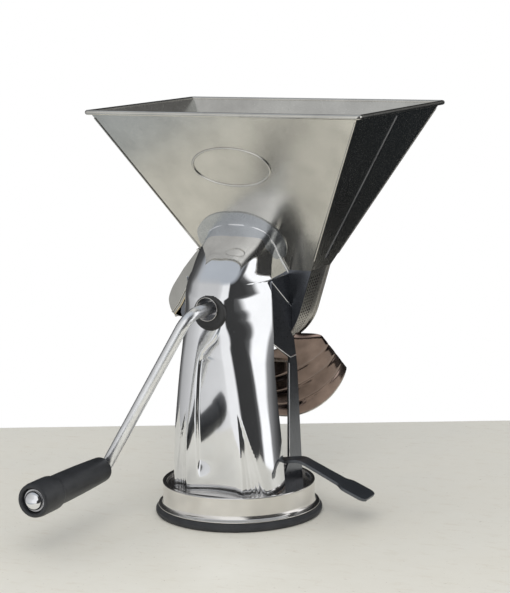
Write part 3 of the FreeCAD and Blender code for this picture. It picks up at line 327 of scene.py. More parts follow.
class Finish:
    """Builds one procedural material node by node."""

    def __init__(self, name, metallic, roughness, color):
        self.material = bpy.data.materials.new(name)
        self.material.use_nodes = True
        self.tree = self.material.node_tree
        self.shader = self.tree.nodes["Principled BSDF"]
        self.shader.inputs["Metallic"].default_value = metallic
        self.shader.inputs["Roughness"].default_value = roughness
        self.shader.inputs["Base Color"].default_value = (*color, 1)
        self.coords = self.node("ShaderNodeTexCoord").outputs["Object"]

    def node(self, kind, **values):
        item = self.tree.nodes.new(kind)
        for key, value in values.items():
            setattr(item, key, value)
        return item

    def link(self, source, target):
        self.tree.links.new(source, target)

    def noise(self, scale, stretch=(1, 1, 1), detail=4.0, rough=0.55):
        """Noise with features about 1/scale millimetres across."""
        mapping = self.node("ShaderNodeMapping")
        mapping.inputs["Scale"].default_value = [s / MM for s in stretch]
        self.link(self.coords, mapping.inputs["Vector"])
        noise = self.node("ShaderNodeTexNoise")
        noise.inputs["Scale"].default_value = scale
        noise.inputs["Detail"].default_value = detail
        noise.inputs["Roughness"].default_value = rough
        self.link(mapping.outputs["Vector"], noise.inputs["Vector"])
        return noise.outputs["Fac"]

    def span(self, source, low, high, start=0.0, end=1.0):
        """Maps low..high to start..end."""
        item = self.node("ShaderNodeMapRange")
        for key, value in (("From Min", low), ("From Max", high), ("To Min", start),
                           ("To Max", end)):
            item.inputs[key].default_value = value
        self.link(source, item.inputs["Value"])
        return item.outputs["Result"]

    def mixed(self, factor, first, second):
        item = self.node("ShaderNodeMix", data_type="RGBA")
        self.link(factor, item.inputs["Factor"])
        for value, socket in ((first, item.inputs[6]), (second, item.inputs[7])):
            if isinstance(value, tuple):
                socket.default_value = (*value, 1)
            else:
                self.link(value, socket)
        return item.outputs[2]

    def color(self, source):
        self.link(source, self.shader.inputs["Base Color"])

    def roughness(self, source):
        self.link(source, self.shader.inputs["Roughness"])

    def bump(self, source, distance):
        """Adds relief of the given height to what is already there."""
        item = self.node("ShaderNodeBump")
        item.inputs["Distance"].default_value = distance * MM
        item.inputs["Strength"].default_value = 1.0
        self.link(source, item.inputs["Height"])
        if self.shader.inputs["Normal"].is_linked:
            earlier = self.shader.inputs["Normal"].links[0].from_socket
            self.link(earlier, item.inputs["Normal"])
        self.link(item.outputs["Normal"], self.shader.inputs["Normal"])


def worn_metal(name, color, roughness, wave, streak=(1, 1, 1), spots=0.0, scratch=0.004,
               dark=0.82):
    """Metal with soft dents, smudges, fine scratches and a few specks."""
    f = Finish(name, 1.0, roughness, color)
    smudge = f.noise(0.035, detail=3.0)
    shade = tuple(c * dark for c in color)
    tint = f.mixed(f.span(smudge, 0.35, 0.7), color, shade)
    if spots:
        speck = f.noise(0.55, detail=1.0)
        tint = f.mixed(f.span(speck, 0.735, 0.76, 0.0, spots), tint, (0.06, 0.05, 0.045))
    f.color(tint)
    grain = f.noise(1.5, stretch=streak, detail=5.0)
    f.roughness(f.span(grain, 0.3, 0.75, roughness * 0.75, roughness * 1.35))
    f.bump(f.noise(0.022, detail=1.0), wave * 10)
    f.bump(grain, scratch)
    return f.material


def flat_plastic(name, color, roughness, grain):
    """Plastic or rubber with faint clouds and a fine grain."""
    f = Finish(name, 0.0, roughness, color)
    cloud = f.noise(0.08, detail=5.0)
    f.color(f.mixed(f.span(cloud, 0.3, 0.75), color, tuple(c * 1.5 + 0.004 for c in color)))
    pits = f.noise(2.5, detail=3.0)
    f.roughness(f.span(pits, 0.3, 0.7, roughness * 0.85, min(1.0, roughness * 1.2)))
    f.bump(pits, grain)
    return f.material


CHROME = worn_metal("chrome", (0.83, 0.84, 0.86), 0.07, wave=0.006, scratch=0.0015, dark=0.93)
TIN = worn_metal("tin", (0.70, 0.685, 0.64), 0.22, wave=0.005, spots=0.12, scratch=0.0008)
# Dark tin for the wall seams and weld dots: partly their own dark joints, partly painted shade.
TIN_JOINT_PAINTED_SHADE = worn_metal("tin_joint_painted_shade", (0.30, 0.30, 0.31), 0.24, wave=0.02, spots=0.3)
RING_STEEL = worn_metal("ring_steel", (0.86, 0.84, 0.81), 0.17, wave=0.004,
                        streak=(0.06, 0.06, 2.4), scratch=0.004)
STEEL = worn_metal("steel", (0.58, 0.58, 0.59), 0.28, wave=0.004, scratch=0.006)
DARK_STEEL = worn_metal("dark_steel", (0.17, 0.18, 0.20), 0.3, wave=0.006, scratch=0.004)
# Dark satin finish for the lever: the dark is painted reflection of dark surroundings on plated
# steel.
LEVER_STEEL = worn_metal("lever_steel", (0.15, 0.16, 0.175), 0.42, wave=0.004,
                         streak=(0.08, 2.0, 0.4), scratch=0.006)
ZINC = worn_metal("zinc", (0.96, 0.97, 0.99), 0.3, wave=0.003, scratch=0.008, dark=0.88)
WARM_TIN = worn_metal("warm_tin", (0.34, 0.255, 0.22), 0.13, wave=0.01, scratch=0.002, dark=0.5)
SCOOP_TIN = worn_metal("scoop_tin", (0.40, 0.395, 0.37), 0.14, wave=0.015, scratch=0.003)
SCREEN_TIN = worn_metal("screen_tin", (0.66, 0.63, 0.58), 0.3, wave=0.004, scratch=0.002)
FLANGE_TIN = worn_metal("flange_tin", (0.55, 0.57, 0.585), 0.3, wave=0.004, scratch=0.002)
# Near-black finish for the screen's hole walls: painted shade that makes the holes read dark.
HOLE_PAINTED_SHADE = worn_metal("hole_wall", (0.10, 0.085, 0.075), 0.5, wave=0.002, scratch=0.002)
BRASSY = worn_metal("hem", (0.70, 0.60, 0.42), 0.2, wave=0.002, scratch=0.003)
RUBBER = flat_plastic("rubber", (0.022, 0.023, 0.025), 0.62, 0.03)
GRIP = flat_plastic("grip", (0.016, 0.017, 0.019), 0.44, 0.02)
BLACK = flat_plastic("collar_black", (0.012, 0.012, 0.012), 0.35, 0.015)
BROWN = flat_plastic("bush_brown", (0.16, 0.07, 0.035), 0.6, 0.05)
WHITE = flat_plastic("rotor_white", (0.72, 0.71, 0.67), 0.45, 0.01)

CAD_FINISH = {
    "foot_plate": STEEL, "base_screws": STEEL, "plunger_guide": STEEL, "plunger_plate": STEEL,
    "plunger_stud": STEEL, "lever_pin": STEEL, "side_plate_left": DARK_STEEL,
    "side_plate_right": DARK_STEEL, "chute_rest": TIN, "neck_flange": FLANGE_TIN,
    "hopper_front_half": TIN, "hopper_rear_half": TIN, "drum_front_plate": DARK_STEEL,
    "drum_rear_plate": TIN, "sleeve_bushes": DARK_STEEL, "rear_bush": BROWN, "rotor_shaft": STEEL,
    "rotor_hub": WHITE, "paddle_1": WHITE, "paddle_2": WHITE, "paddle_pins": STEEL,
    "paddle_springs": STEEL, "shaft_washer": STEEL, "shaft_nut": STEEL, "crank_pin": STEEL,
    "grip_washer": STEEL,
}
for node, finish in CAD_FINISH.items():
    piece = NODES[node]
    if not piece.material_slots:
        piece.data.materials.append(finish)
    for material_slot in piece.material_slots:
        material_slot.material = finish


# ---- suction base

BASE_CENTRE = (0, 0, 0)
lathe("cup_rubber", fillet([
    (0, 0), (22, 0), (24, 2), (57, 2), (59, 0), (64.6, 0), (66, 1.4), (66, 3.8), (65.2, 4.8),
    (64.4, 5.4), (64.0, 6.6), (0, 6.6)], 0.8), place_z(BASE_CENTRE), RUBBER, "stand",
    ["suction_cup"], segments=160)
lathe("ring_band", fillet([
    (59, 6.6), (63.2, 6.6), (63.9, 7.0), (63.9, 7.6), (62.6, 8.2), (61.2, 8.4), (60.6, 9.4),
    (60.2, 11.5), (60.2, 23.9), (60.5, 24.9), (60.1, 25.6), (57.4, 25.4), (56.9, 24.6),
    (56.7, 21.9), (54, 21.6), (15, 21.6), (15, 20.4), (59, 20.4)], 0.5),
    place_z(BASE_CENTRE), RING_STEEL, "stand", ["base_ring"], segments=200, sharp=50,
    closed=True)


# ---- pedestal shell

SHELL_FOOT, SHELL_TOP = 22.0, 227.8
LEVEL_STEPS, FRONT_STEPS, CORNER_STEPS, FLANK_STEPS = 300, 24, 48, 38
COLLAR_X, COLLAR_Z, COLLAR_R = 1.5, SHAFT_Z - 3.2, 13.6
FLANK_END_Y = -12.0
NECK_START_Z = 188.0
KNEE_DEPTH = 36.0
WALL_SLOPE = (THROAT_FRONT - RIM_FRONT) / (RIM_Z - THROAT_Z)

# The shell by height: half widths, the front's depth, the corner's radius and the
# crease's place across.
FRONT_WIDTH = curve([(21.6, 46.0), (60, 43.5), (100, 38.3), (125, 34.0), (145, 29.3),
                     (160, 25.2), (172, 23.8), (186, 23.8), (200, 25.2), (216, 27.2),
                     (240, 27.5)])
REAR_WIDTH = curve([(21.6, 46.2), (60, 43.6), (100, 40.0), (125, 38.2), (150, 37.8),
                    (170, 37.2), (187, 34.8), (198, 31.6), (208, 29.4), (226, 27.8),
                    (240, 27.5)])
FRONT_Y = curve([(21.6, -43.5), (60, -44.6), (100, -46.0), (125, -47.0), (145, -48.0),
                 (160, -48.4), (176, -48.4), (187, -45.0), (197, -38.0), (208, -27.5),
                 (218, -13.5), (228, 3.0), (240, 16.0)])
CORNER = curve([(21.6, 27.0), (60, 26.0), (110, 24.0), (145, 21.0), (165, 18.0), (186, 16.0),
                (200, 20.0), (216, 25.0), (240, 25.0)])
CREASE = curve([(20, -13.3), (60, -13.1), (85, -12.6), (104, -11.2), (124, -9.0), (134, -6.0),
                (139, -2.3), (145.6, 4.7), (157.5, 10.8), (165.4, 13.6), (180, 15.0)])


FLANK_TURN = math.radians(11.0)


def hopper_wall_y(z):
    """Depth of a plane 1 mm in front of the hopper's front wall."""
    return RIM_FRONT + (RIM_Z - z) * WALL_SLOPE - math.hypot(1.0, WALL_SLOPE)


def shell_section(z):
    """Places and outward directions of the right half in plan, from the middle of
    the front round the corner and along the flank to its rear edge."""
    half, rear, front = FRONT_WIDTH(z), REAR_WIDTH(z), FRONT_Y(z)
    radius = min(CORNER(z), half - 0.2)
    cx, cy = half - radius, front + radius
    knee = (rear, front + KNEE_DEPTH)
    reach = math.hypot(knee[0] - cx, knee[1] - cy)
    touch = math.atan2(knee[1] - cy, knee[0] - cx) - math.acos(radius / reach)
    touch -= FLANK_TURN * smooth((204.0 - z) / 16.0)
    limit = FLANK_END_Y if z < NECK_START_Z else max(hopper_wall_y(z), front + 0.4)
    if cy + radius * math.sin(touch) > limit:
        touch = math.asin(max(-1.0, min(1.0, (limit - cy) / radius)))
    pts = [(cx * i / FRONT_STEPS, front, 0.0, -1.0) for i in range(FRONT_STEPS)]
    for i in range(CORNER_STEPS + 1):
        angle = -math.pi / 2 + (touch + math.pi / 2) * i / CORNER_STEPS
        nx, ny = math.cos(angle), math.sin(angle)
        pts.append((cx + radius * nx, cy + radius * ny, nx, ny))
    x0, y0, nx, ny = pts[-1]
    knee_y = max(knee[1], y0 + 0.01)
    # The flank leaves the corner along its tangent and bends to the knee (a parabola).
    span = knee_y - y0
    lift = 0.5 * math.hypot(knee[0] - x0, span)
    bend_x, bend_y = -ny * lift, nx * lift
    rest = span - 2 * bend_y
    for i in range(1, FLANK_STEPS + 1):
        y = y0 + max(limit - y0, 0.4) * i / FLANK_STEPS
        if y < knee_y:
            t = (y - y0) / span
            if abs(rest) > 1e-6:
                root = math.sqrt(max(0.0, bend_y ** 2 + rest * (y - y0)))
                t = (root - bend_y) / rest
            x = x0 + 2 * t * (1 - t) * bend_x + t * t * (knee[0] - x0)
            pts.append((x, y, nx, ny))
        else:
            turn = smooth((y - knee_y) / 4.0)
            pts.append((rear, y, nx * (1 - turn) + turn, ny * (1 - turn)))
    return pts


CREASE_WIDTH = 3.2
PANEL_RIGHT, PANEL_LEAN = 16.0, 400.0
PANEL_MAX_TURN = 40.0
FLUTE_TOP, FLUTE_DEPTH, RIDGE_HEIGHT, RIDGE_WAVES = 92.0, 3.4, 0.5, 5


def panel_relief(x, z):
    """The front panel: sunk to the right of the crease and leaning back to its level."""
    step = CREASE(z)
    into = smooth((x - step + CREASE_WIDTH / 2) / CREASE_WIDTH)
    lean = max(0.0, PANEL_RIGHT - x) ** 2 / PANEL_LEAN
    low = smooth((z - 33) / 18) * smooth((134.0 - max(0.0, x) * 0.16 - z) / 5)
    high = smooth((z - 127) / 8) * smooth((167 - z) / 24)
    return -into * (lean * low + 1.2 * high * math.exp(-max(0.0, x - step) / 7.0))


def flute_relief(z, turn):
    """The corner flutes: a fan of fine ridges in a hollow that widens downwards."""
    run = (FLUTE_TOP - z) / (FLUTE_TOP - SHELL_FOOT)
    if run <= 0:
        return 0.0
    first, last = 15.8 - 5.0 * run, 16.5 + 36.0 * run
    q = (turn - first) / (last - first)
    if not 0 < q < 1:
        return 0.0
    hollow = FLUTE_DEPTH * math.sin(math.pi * q) ** 0.8
    return run * (RIDGE_HEIGHT * math.sin(RIDGE_WAVES * math.pi * q) ** 2 - hollow)


def shell_relief(x, z, turn):
    """Height of the pressed relief where the skin faces turn degrees off the front."""
    panel = panel_relief(x, z) if turn < PANEL_MAX_TURN else 0.0
    return panel + flute_relief(z, turn)


def build_shell():
    """The pressed skin with its hole for the shaft, and the bead along the neck."""
    rows = []
    for step in range(LEVEL_STEPS + 1):
        z = SHELL_FOOT + (SHELL_TOP - SHELL_FOOT) * step / LEVEL_STEPS
        section = shell_section(z)
        row = []
        for sign, places in ((-1, reversed(section[1:])), (1, section)):
            for x, y, nx, ny in places:
                turn = math.degrees(math.atan2(nx, -ny))
                d = shell_relief(sign * x, z, turn)
                row.append((sign * (x + nx * d), y + ny * d, z))
        rows.append(row)

    def hole(r, c):
        x, y, z = rows[r][c]
        return y < 0 and math.hypot(x - COLLAR_X, z - COLLAR_Z) < COLLAR_R - 0.2

    sheet("pedestal_shell", rows, CHROME, "stand", 1.2, ["front_shell"],
          sharp=60, skip=hole)
    neck = [row for row in rows[::4] if row[0][2] > NECK_START_Z]
    rim = [row[0] for row in neck] + rows[-1][::6] + [row[-1] for row in reversed(neck)]
    bar("neck_bead", rim, 0.9, CHROME, "stand", segments=12)


build_shell()


# ---- shaft bearing

COLLAR_FACE_Y = -49.8
SLEEVE_FACE_Y = -51.0


def build_collar():
    """A ring whose bore sits high and left of its own middle.

    Each profile point is a radius, a depth and 1 where it turns about the ring's own
    middle or 0 where it turns about the shaft."""
    profile = [(9.35, 0.2, 0), (9.7, 0, 0), (12.0, 0, 1), (13.0, 0.5, 1), (13.5, 1.5, 1),
               (13.6, 2.6, 1), (13.5, 3.1, 1), (13.0, 3.4, 1), (13.0, 4.2, 1), (13.5, 4.5, 1),
               (13.6, 5.0, 1), (13.6, 9.5, 1), (9.35, 9.5, 0)]
    verts, faces = [], []
    count = 96
    for radius, depth, own in profile:
        for step in range(count):
            angle = 2 * math.pi * step / count
            verts.append((own * COLLAR_X + radius * math.cos(angle), COLLAR_FACE_Y + depth,
                          SHAFT_Z + own * (COLLAR_Z - SHAFT_Z) + radius * math.sin(angle)))
    rings = len(profile)
    for ring in range(rings):
        after = (ring + 1) % rings
        for step in range(count):
            turn = (step + 1) % count
            faces.append((ring * count + step, after * count + step, after * count + turn,
                          ring * count + turn))
    mesh_piece("collar_black", verts, faces, BLACK, "stand", ["front_collar"])


build_collar()
lathe("sleeve_tube", fillet([(8.6, 0.4), (8.9, 0), (9.2, 0.3), (9.3, 1.2), (9.3, 75),
                             (8.6, 75)], 0.2),
      place_back((0, SLEEVE_FACE_Y, SHAFT_Z)), RING_STEEL, "stand", ["bearing_sleeve"],
      segments=96, closed=True)

# ---- crank

ROD_INNER_Y, ARM_Y, GRIP_NEAR_Y, ROD_END_Y = -18.5, -80.0, -86.0, -182.3
ROD_RADIUS, SHAFT_BEND, GRIP_BEND = 4.6, 12.0, 5.5
DOME_RADIUS, DOME_RISE, DOME_RIM = 7.2, 4.1, 0.3

crank_path = arc_path([
    (0, ROD_INNER_Y, SHAFT_Z), (0, ARM_Y, SHAFT_Z), (GRIP_X, ARM_Y, GRIP_Z),
    (GRIP_X, ROD_END_Y, GRIP_Z)], [SHAFT_BEND, GRIP_BEND], 16)
bar("crank_bar", crank_path, ROD_RADIUS, ZINC, "crank", ["crank_rod"], segments=40)
lathe("grip_body", fillet([
    (4.65, 0), (7.6, 0), (9.3, 0.9), (9.7, 2.4), (10.2, 14), (10.9, 34), (11.3, 56),
    (11.35, 70.6), (11.6, 71.9), (12.6, 73.1), (12.85, 75), (12.95, 82), (12.95, 94),
    (12.5, 97.6), (11.6, 99), (10.2, 99), (9.4, 98.2), (9.2, 95), (4.65, 95)], 0.7),
    place_front((GRIP_X, GRIP_NEAR_Y, GRIP_Z)), GRIP, "grip", ["handle_grip"],
    segments=120, sharp=45, closed=True)
dome = [(DOME_RADIUS * math.cos(a), DOME_RIM + DOME_RISE * math.sin(a))
        for a in (math.radians(5 * k) for k in range(1, 18))]
lathe("rivet_dome", [(0, 0), (7.0, 0), (DOME_RADIUS, 0.25), *dome, (0, DOME_RIM + DOME_RISE)],
      place_front((GRIP_X, ROD_END_Y - 0.1, GRIP_Z)), CHROME, "crank", ["grip_rivet"],
      segments=72, sharp=60)


# ---- hopper details

ROLL_OUT, ROLL_RADIUS, ROLL_Z = 2.1, 1.8, RIM_Z + 0.2
OVAL_X, OVAL_Z, OVAL_HALF_WIDTH, OVAL_HALF_HEIGHT = 9.4, 275.2, 32.4, 15.0
CORNER_LOW_Z, CORNER_HIGH_Z, CORNER_INSET = 200.0, 312.0, 0.35


def hopper_corners(z):
    """Left, right, front and back faces of the funnel at a height."""
    share = (z - THROAT_Z) / (RIM_Z - THROAT_Z)
    half = THROAT_HALF + (RIM_HALF - THROAT_HALF) * share
    return (HOPPER_X - half, HOPPER_X + half, THROAT_FRONT + (RIM_FRONT - THROAT_FRONT) * share,
            THROAT_BACK + (RIM_BACK - THROAT_BACK) * share)


def build_rim():
    """The rolled rim, which turns about the mouth's corners."""
    left, right, front, back = hopper_corners(RIM_Z)
    rim = []
    for x, y, start in ((right, front, -90), (right, back, 0), (left, back, 90),
                        (left, front, 180)):
        for s in range(9):
            angle = math.radians(start + 90 * s / 8)
            rim.append((x + ROLL_OUT * math.cos(angle), y + ROLL_OUT * math.sin(angle), ROLL_Z))
    dense = []
    for a, b in zip(rim, rim[1:] + rim[:1]):
        parts = max(1, int(math.dist(a, b) / 8))
        dense += [tuple(p + (q - p) * s / parts for p, q in zip(a, b)) for s in range(parts)]
    bar("rim_roll", dense, ROLL_RADIUS, TIN, "stand", ["rim_wire"], segments=24,
        closed=True)


build_rim()

WALL_UP = Vector((0, RIM_FRONT - THROAT_FRONT, RIM_Z - THROAT_Z)).normalized()
WALL_OUT = Vector((0, THROAT_Z - RIM_Z, RIM_FRONT - THROAT_FRONT)).normalized()
WALL_FOOT = Vector((0, THROAT_FRONT, THROAT_Z))


def on_front_wall(x, z, out=0.0):
    """A point on the front wall, raised from it by out."""
    return WALL_FOOT + WALL_UP * ((z - THROAT_Z) / WALL_UP.z) + WALL_OUT * out + Vector((x, 0, 0))


oval = [on_front_wall(OVAL_X + OVAL_HALF_WIDTH * math.cos(a),
                      OVAL_Z + OVAL_HALF_HEIGHT * math.sin(a), 0.1)
        for a in (2 * math.pi * i / 96 for i in range(96))]
bar("oval_bead", oval, 0.95, TIN, "stand", segments=14, closed=True)

edges = []
for side, inset in ((0, CORNER_INSET), (1, -CORNER_INSET)):
    for face in (2, 3):
        path = []
        for i in range(20):
            z = CORNER_LOW_Z + (CORNER_HIGH_Z - CORNER_LOW_Z) * i / 19
            box = hopper_corners(z)
            path.append((box[side] + inset, box[face], z))
        edges.append(sweep(path, 0.8, 10))
joined("wall_corners", edges, TIN, "stand", sharp=50)

SEAM_LOW_Z, SEAM_HIGH_Z = 199.5, 311.5
SEAM_LOW_Y, SEAM_HIGH_Y = 42.6, 39.5
SEAM_HALF_WIDTH, SEAM_DOTS = 1.3, 14
FLANGE_DOTS = ((-24, 229.5), (-8, 234), (14, 234), (29, 228), (35.5, 212), (-33, 214))


def dot(centre, first, second, radius, count, tip):
    """A shallow cone from a ring, which lies along two directions, to its tip."""
    ring = [tuple(centre + (first * math.cos(t) + second * math.sin(t)) * radius)
            for t in (2 * math.pi * k / count for k in range(count))]
    return ring + [tuple(tip)], [(k, (k + 1) % count, count) for k in range(count)]


def build_seams():
    """A strip down each side wall with a row of dots, and the dots on the flange."""
    seams, dots = [], []
    along = Vector((0, 1, 0))
    for side, sign in ((0, -1), (1, 1)):
        a = Vector((hopper_corners(SEAM_LOW_Z)[side], SEAM_LOW_Y, SEAM_LOW_Z))
        b = Vector((hopper_corners(SEAM_HIGH_Z)[side], SEAM_HIGH_Y, SEAM_HIGH_Z))
        up = (b - a).normalized()
        out = (up.cross(along) * -sign).normalized()
        corners = [tuple(end + along * w + out * lift) for end in (a, b)
                   for w in (-SEAM_HALF_WIDTH, SEAM_HALF_WIDTH) for lift in (-0.2, 0.5)]
        seams.append((corners, [(0, 1, 3, 2), (4, 6, 7, 5), (0, 2, 6, 4), (1, 5, 7, 3),
                                (0, 4, 5, 1), (2, 3, 7, 6)]))
        for i in range(SEAM_DOTS):
            spot = a.lerp(b, (i + 0.5) / SEAM_DOTS) + out * 0.45
            dots.append(dot(spot, up, along, 1.1, 10, spot + out * 0.35))
    # The seams and the dots take the dark tin: their own dark joints with painted shade on them.
    joined("wall_seams", seams, TIN_JOINT_PAINTED_SHADE, "stand", sharp=20)
    for x, z in FLANGE_DOTS:
        spot = on_front_wall(x, z, 1.0)
        dots.append(dot(spot, WALL_UP, Vector((1, 0, 0)), 1.3, 12, spot - WALL_OUT * 0.3))
    joined("weld_dots", dots, TIN_JOINT_PAINTED_SHADE, "stand", sharp=80)


build_seams()


# ---- drum screen

# Seen from the front and counted from the shaft: the start at the throat's right
# wall, the drum's radius and the heading of the left end.
SCREEN_RIGHT, SCREEN_RISE = 52.2, 21.2
SCREEN_RADIUS = 43.4
SCREEN_STOP = math.radians(-155.0)
SCREEN_FRONT, SCREEN_BACK = 25.6, 60.4
SCREEN_HALF_SHEET = 0.35
ROW_PITCH, COLUMN_PITCH = 2.6, 3.6
HOLE_HALF_ROW, HOLE_HALF_COLUMN = 0.34, 0.25
LINE_STEPS = 8


def screen_path(samples):
    """Places and outward directions of the screen's mid-line, and its length."""
    touch = (math.atan2(SCREEN_RISE, SCREEN_RIGHT)
             - math.acos(SCREEN_RADIUS / math.hypot(SCREEN_RIGHT, SCREEN_RISE)))
    start = Vector((SCREEN_RIGHT, SCREEN_RISE))
    joint = Vector((SCREEN_RADIUS * math.cos(touch), SCREEN_RADIUS * math.sin(touch)))
    straight = (start - joint).length
    total = straight + SCREEN_RADIUS * (touch - SCREEN_STOP)
    result = []
    for i in range(samples + 1):
        s = total * i / samples
        if s < straight:
            p = start.lerp(joint, s / straight)
            n = Vector((math.cos(touch), math.sin(touch)))
        else:
            angle = touch - (s - straight) / SCREEN_RADIUS
            n = Vector((math.cos(angle), math.sin(angle)))
            p = n * SCREEN_RADIUS
        result.append((p, n))
    return result, total


def build_screen():
    """The sheet in cells, one oval hole in each but at the edges, and the hole walls."""
    _, total = screen_path(1)
    rows = int(total / ROW_PITCH)
    cols = int((SCREEN_BACK - SCREEN_FRONT) / COLUMN_PITCH)
    last = rows * LINE_STEPS
    line, _ = screen_path(last)
    verts, faces, edge, walls = [], [], [], []
    step_y = (SCREEN_BACK - SCREEN_FRONT) / cols
    rim = [(0, 0), (0.5, 0), (1, 0), (1, 0.5), (1, 1), (0.5, 1), (0, 1), (0, 0.5)]
    ring = []
    for k in range(8):
        angle = -3 * math.pi / 4 + k * math.pi / 4
        ring.append((0.5 + HOLE_HALF_ROW * math.cos(angle),
                     0.5 + HOLE_HALF_COLUMN * math.sin(angle)))

    def spot(u, w, level):
        """u counts rows, w counts columns, level is +1 outside and -1 inside."""
        near = round(u * LINE_STEPS)
        share = u * LINE_STEPS - near
        p, n = line[max(0, min(last, near))]
        beside, _ = line[max(0, min(last, near + (1 if share > 0 else -1)))]
        q = p + (beside - p) * abs(share) + n * SCREEN_HALF_SHEET * level
        return (q.x, SCREEN_FRONT + w * step_y, SHAFT_Z + q.y)

    for r in range(rows):
        for c in range(cols):
            solid = r < 2 or r > rows - 3 or c < 1 or c > cols - 4
            base = len(verts)
            for level in (1, -1):
                verts += [spot(r + du, c + dv, level) for du, dv in rim]
            if solid:
                faces.append(tuple(base + k for k in range(8)))
                faces.append(tuple(base + 8 + k for k in reversed(range(8))))
                continue
            inner = len(verts)
            for level in (1, -1):
                verts += [spot(r + du, c + dv, level) for du, dv in ring]
            for k in range(8):
                j = (k + 1) % 8
                faces.append((base + k, base + j, inner + j, inner + k))
                faces.append((base + 8 + k, inner + 8 + k, inner + 8 + j, base + 8 + j))
                walls.append((len(edge) + k, len(edge) + j, len(edge) + 8 + j, len(edge) + 8 + k))
            edge += verts[inner:]
    # The hole walls carry painted shade, so the holes show dark.
    mesh_piece("screen_hole_walls", edge, walls, HOLE_PAINTED_SHADE, "stand")
    mesh_piece("screen_sheet", verts, faces, SCREEN_TIN, "stand", ["screen"], 30)


build_screen()


# ---- waste scoop

SCOOP_FRONT, SCOOP_REAR, SCOOP_STEPS = 24.1, 61.9, 40
HEM_Y, HEM_BEND = 23.6, 14


def scoop_line():
    """Outer skin of the scoop from the hopper down to its lip."""
    return fillet([(-38.6, 204.2), (-45.8, 202.6), (-58.2, 187.6), (-69.6, 171.0),
                   (-73.1, 161.5), (-71.0, 153.0), (-66.6, 147.6)], 6.0, 8)


def build_scoop():
    """The scoop's skin, its two walls, the hem with its fold and the rolled ends."""
    line = scoop_line()
    rows = []
    for i in range(SCOOP_STEPS + 1):
        y = SCOOP_FRONT + (SCOOP_REAR - SCOOP_FRONT) * i / SCOOP_STEPS
        rows.append([(x, y, z) for x, z in line])
    sheet("scoop_skin", rows, SCOOP_TIN, "stand", -0.9, ["waste_scoop"], sharp=50)
    seam = [(-38.6, 203.9), (-45.6, 202.2), (-58.0, 187.4), (-69.3, 170.8), (-72.7, 161.4),
            (-70.8, 153.2), (-66.6, 147.9), (-60.4, 147.8), (-61.5, 151.5), (-60.6, 157.5),
            (-54.4, 168.8), (-48.0, 180.5), (-33.0, 191.6)]
    for name, at in (("scoop_wall_front", 24.0), ("scoop_wall_rear", 61.0)):
        plate(name, seam, at, "xz", 1.0, SCOOP_TIN, "stand")
    hem = [(x, HEM_Y, z) for x, z in (
        (-33.5, 191.0), (-48.2, 180.4), (-54.6, 168.6), (-60.9, 157.2), (-66.9, 149.6))]
    fold = [(x - 2.6, y + 0.1, z + 1.4) for x, y, z in hem]
    bends = [HEM_BEND] * (len(hem) - 2)
    joined("scoop_hems", [sweep(arc_path(hem, bends), 0.75, 12)], BRASSY, "stand",
           sharp=50)
    joined("scoop_fold", [sweep(arc_path(fold, bends), 0.6, 12)], TIN, "stand",
           sharp=50)
    across = (24.4, 33, 42, 52, 61.6)
    roll = [(-45.6, y, 202.9) for y in across]
    lip = [(-66.9, y, 147.9) for y in across]
    joined("scoop_rolls", [sweep(roll, 1.1, 14), sweep(lip, 0.8, 14)], TIN, "stand",
           sharp=50)


build_scoop()


# ---- juice chute

# The trough runs down FLOW from CHUTE_EDGE; its section changes with the distance.
SLOPE = math.radians(36.5)
FLOW = Vector((0, math.cos(SLOPE), -math.sin(SLOPE)))
LIFT = Vector((0, math.sin(SLOPE), math.cos(SLOPE)))
CHUTE_EDGE = Vector((0, 59.7, 132.8))
CHUTE_HALF = curve([(-20, 33.0), (0, 46.5), (60.5, 47.5)])
CHUTE_DEPTH = curve([(-20, 22.0), (0, 31.0), (60.5, 47.5)])
CHUTE_START = curve([(-20, -8.0), (0, 0.0), (60.5, 0.0)])
CHUTE_POWER = curve([(-20, 1.6), (0, 1.42), (20, 1.5), (60.5, 2.0)])
CHUTE_FIRST, CHUTE_LENGTH, CHUTE_STEPS, CHUTE_AROUND = -20, 80.4, 120, 96
CHUTE_RIBS, RIB_WIDTH, RIB_HEIGHT = (14.5, 31.0, 47.0), 1.9, 1.5
CHUTE_RADIUS = 47.0
LIP_START, LIP_LENGTH, LIP_HEIGHT = 57.5, 2.5, 0.9
HOOK_LEFT, HOOK_LENGTH = -18, 36


def build_chute():
    """The ribbed trough, the roll on its lip and the hook on the rest bar."""
    rows = []
    for i in range(CHUTE_STEPS + 1):
        s = CHUTE_FIRST + CHUTE_LENGTH * i / CHUTE_STEPS
        rib = sum(math.exp(-((s - at) / RIB_WIDTH) ** 2) for at in CHUTE_RIBS)
        lip = smooth((s - LIP_START) / LIP_LENGTH)
        row = []
        for k in range(CHUTE_AROUND + 1):
            angle = math.pi * k / CHUTE_AROUND
            power = 2 / CHUTE_POWER(s)
            x = -CHUTE_HALF(s) * math.copysign(abs(math.cos(angle)) ** power, math.cos(angle))
            drop = CHUTE_DEPTH(s) * math.sin(angle) ** power
            relief = RIB_HEIGHT * rib * math.sin(angle) ** 0.7 + LIP_HEIGHT * lip
            grow = 1 - relief / CHUTE_RADIUS
            p = CHUTE_EDGE + FLOW * s + LIFT * (CHUTE_START(s) - drop * grow)
            row.append((x * grow, p.y, p.z))
        rows.append(row)
    sheet("chute_trough", rows, WARM_TIN, "stand", 0.9, ["juice_chute"], sharp=60)
    roll = [Vector(p) for p in rows[-1]]
    bar("chute_lip_roll", [p * 0.997 for p in roll[::3]], 1.0, TIN, "stand",
        segments=12)
    hook = [(22.7, 120.1), (27.4, 120.1), (27.4, 121.1), (23.7, 121.1), (23.7, 132.1),
            (22.7, 132.1)]
    plate("chute_hook", hook, HOOK_LEFT, "yz", HOOK_LENGTH, TIN, "stand")


build_chute()


# ---- lever

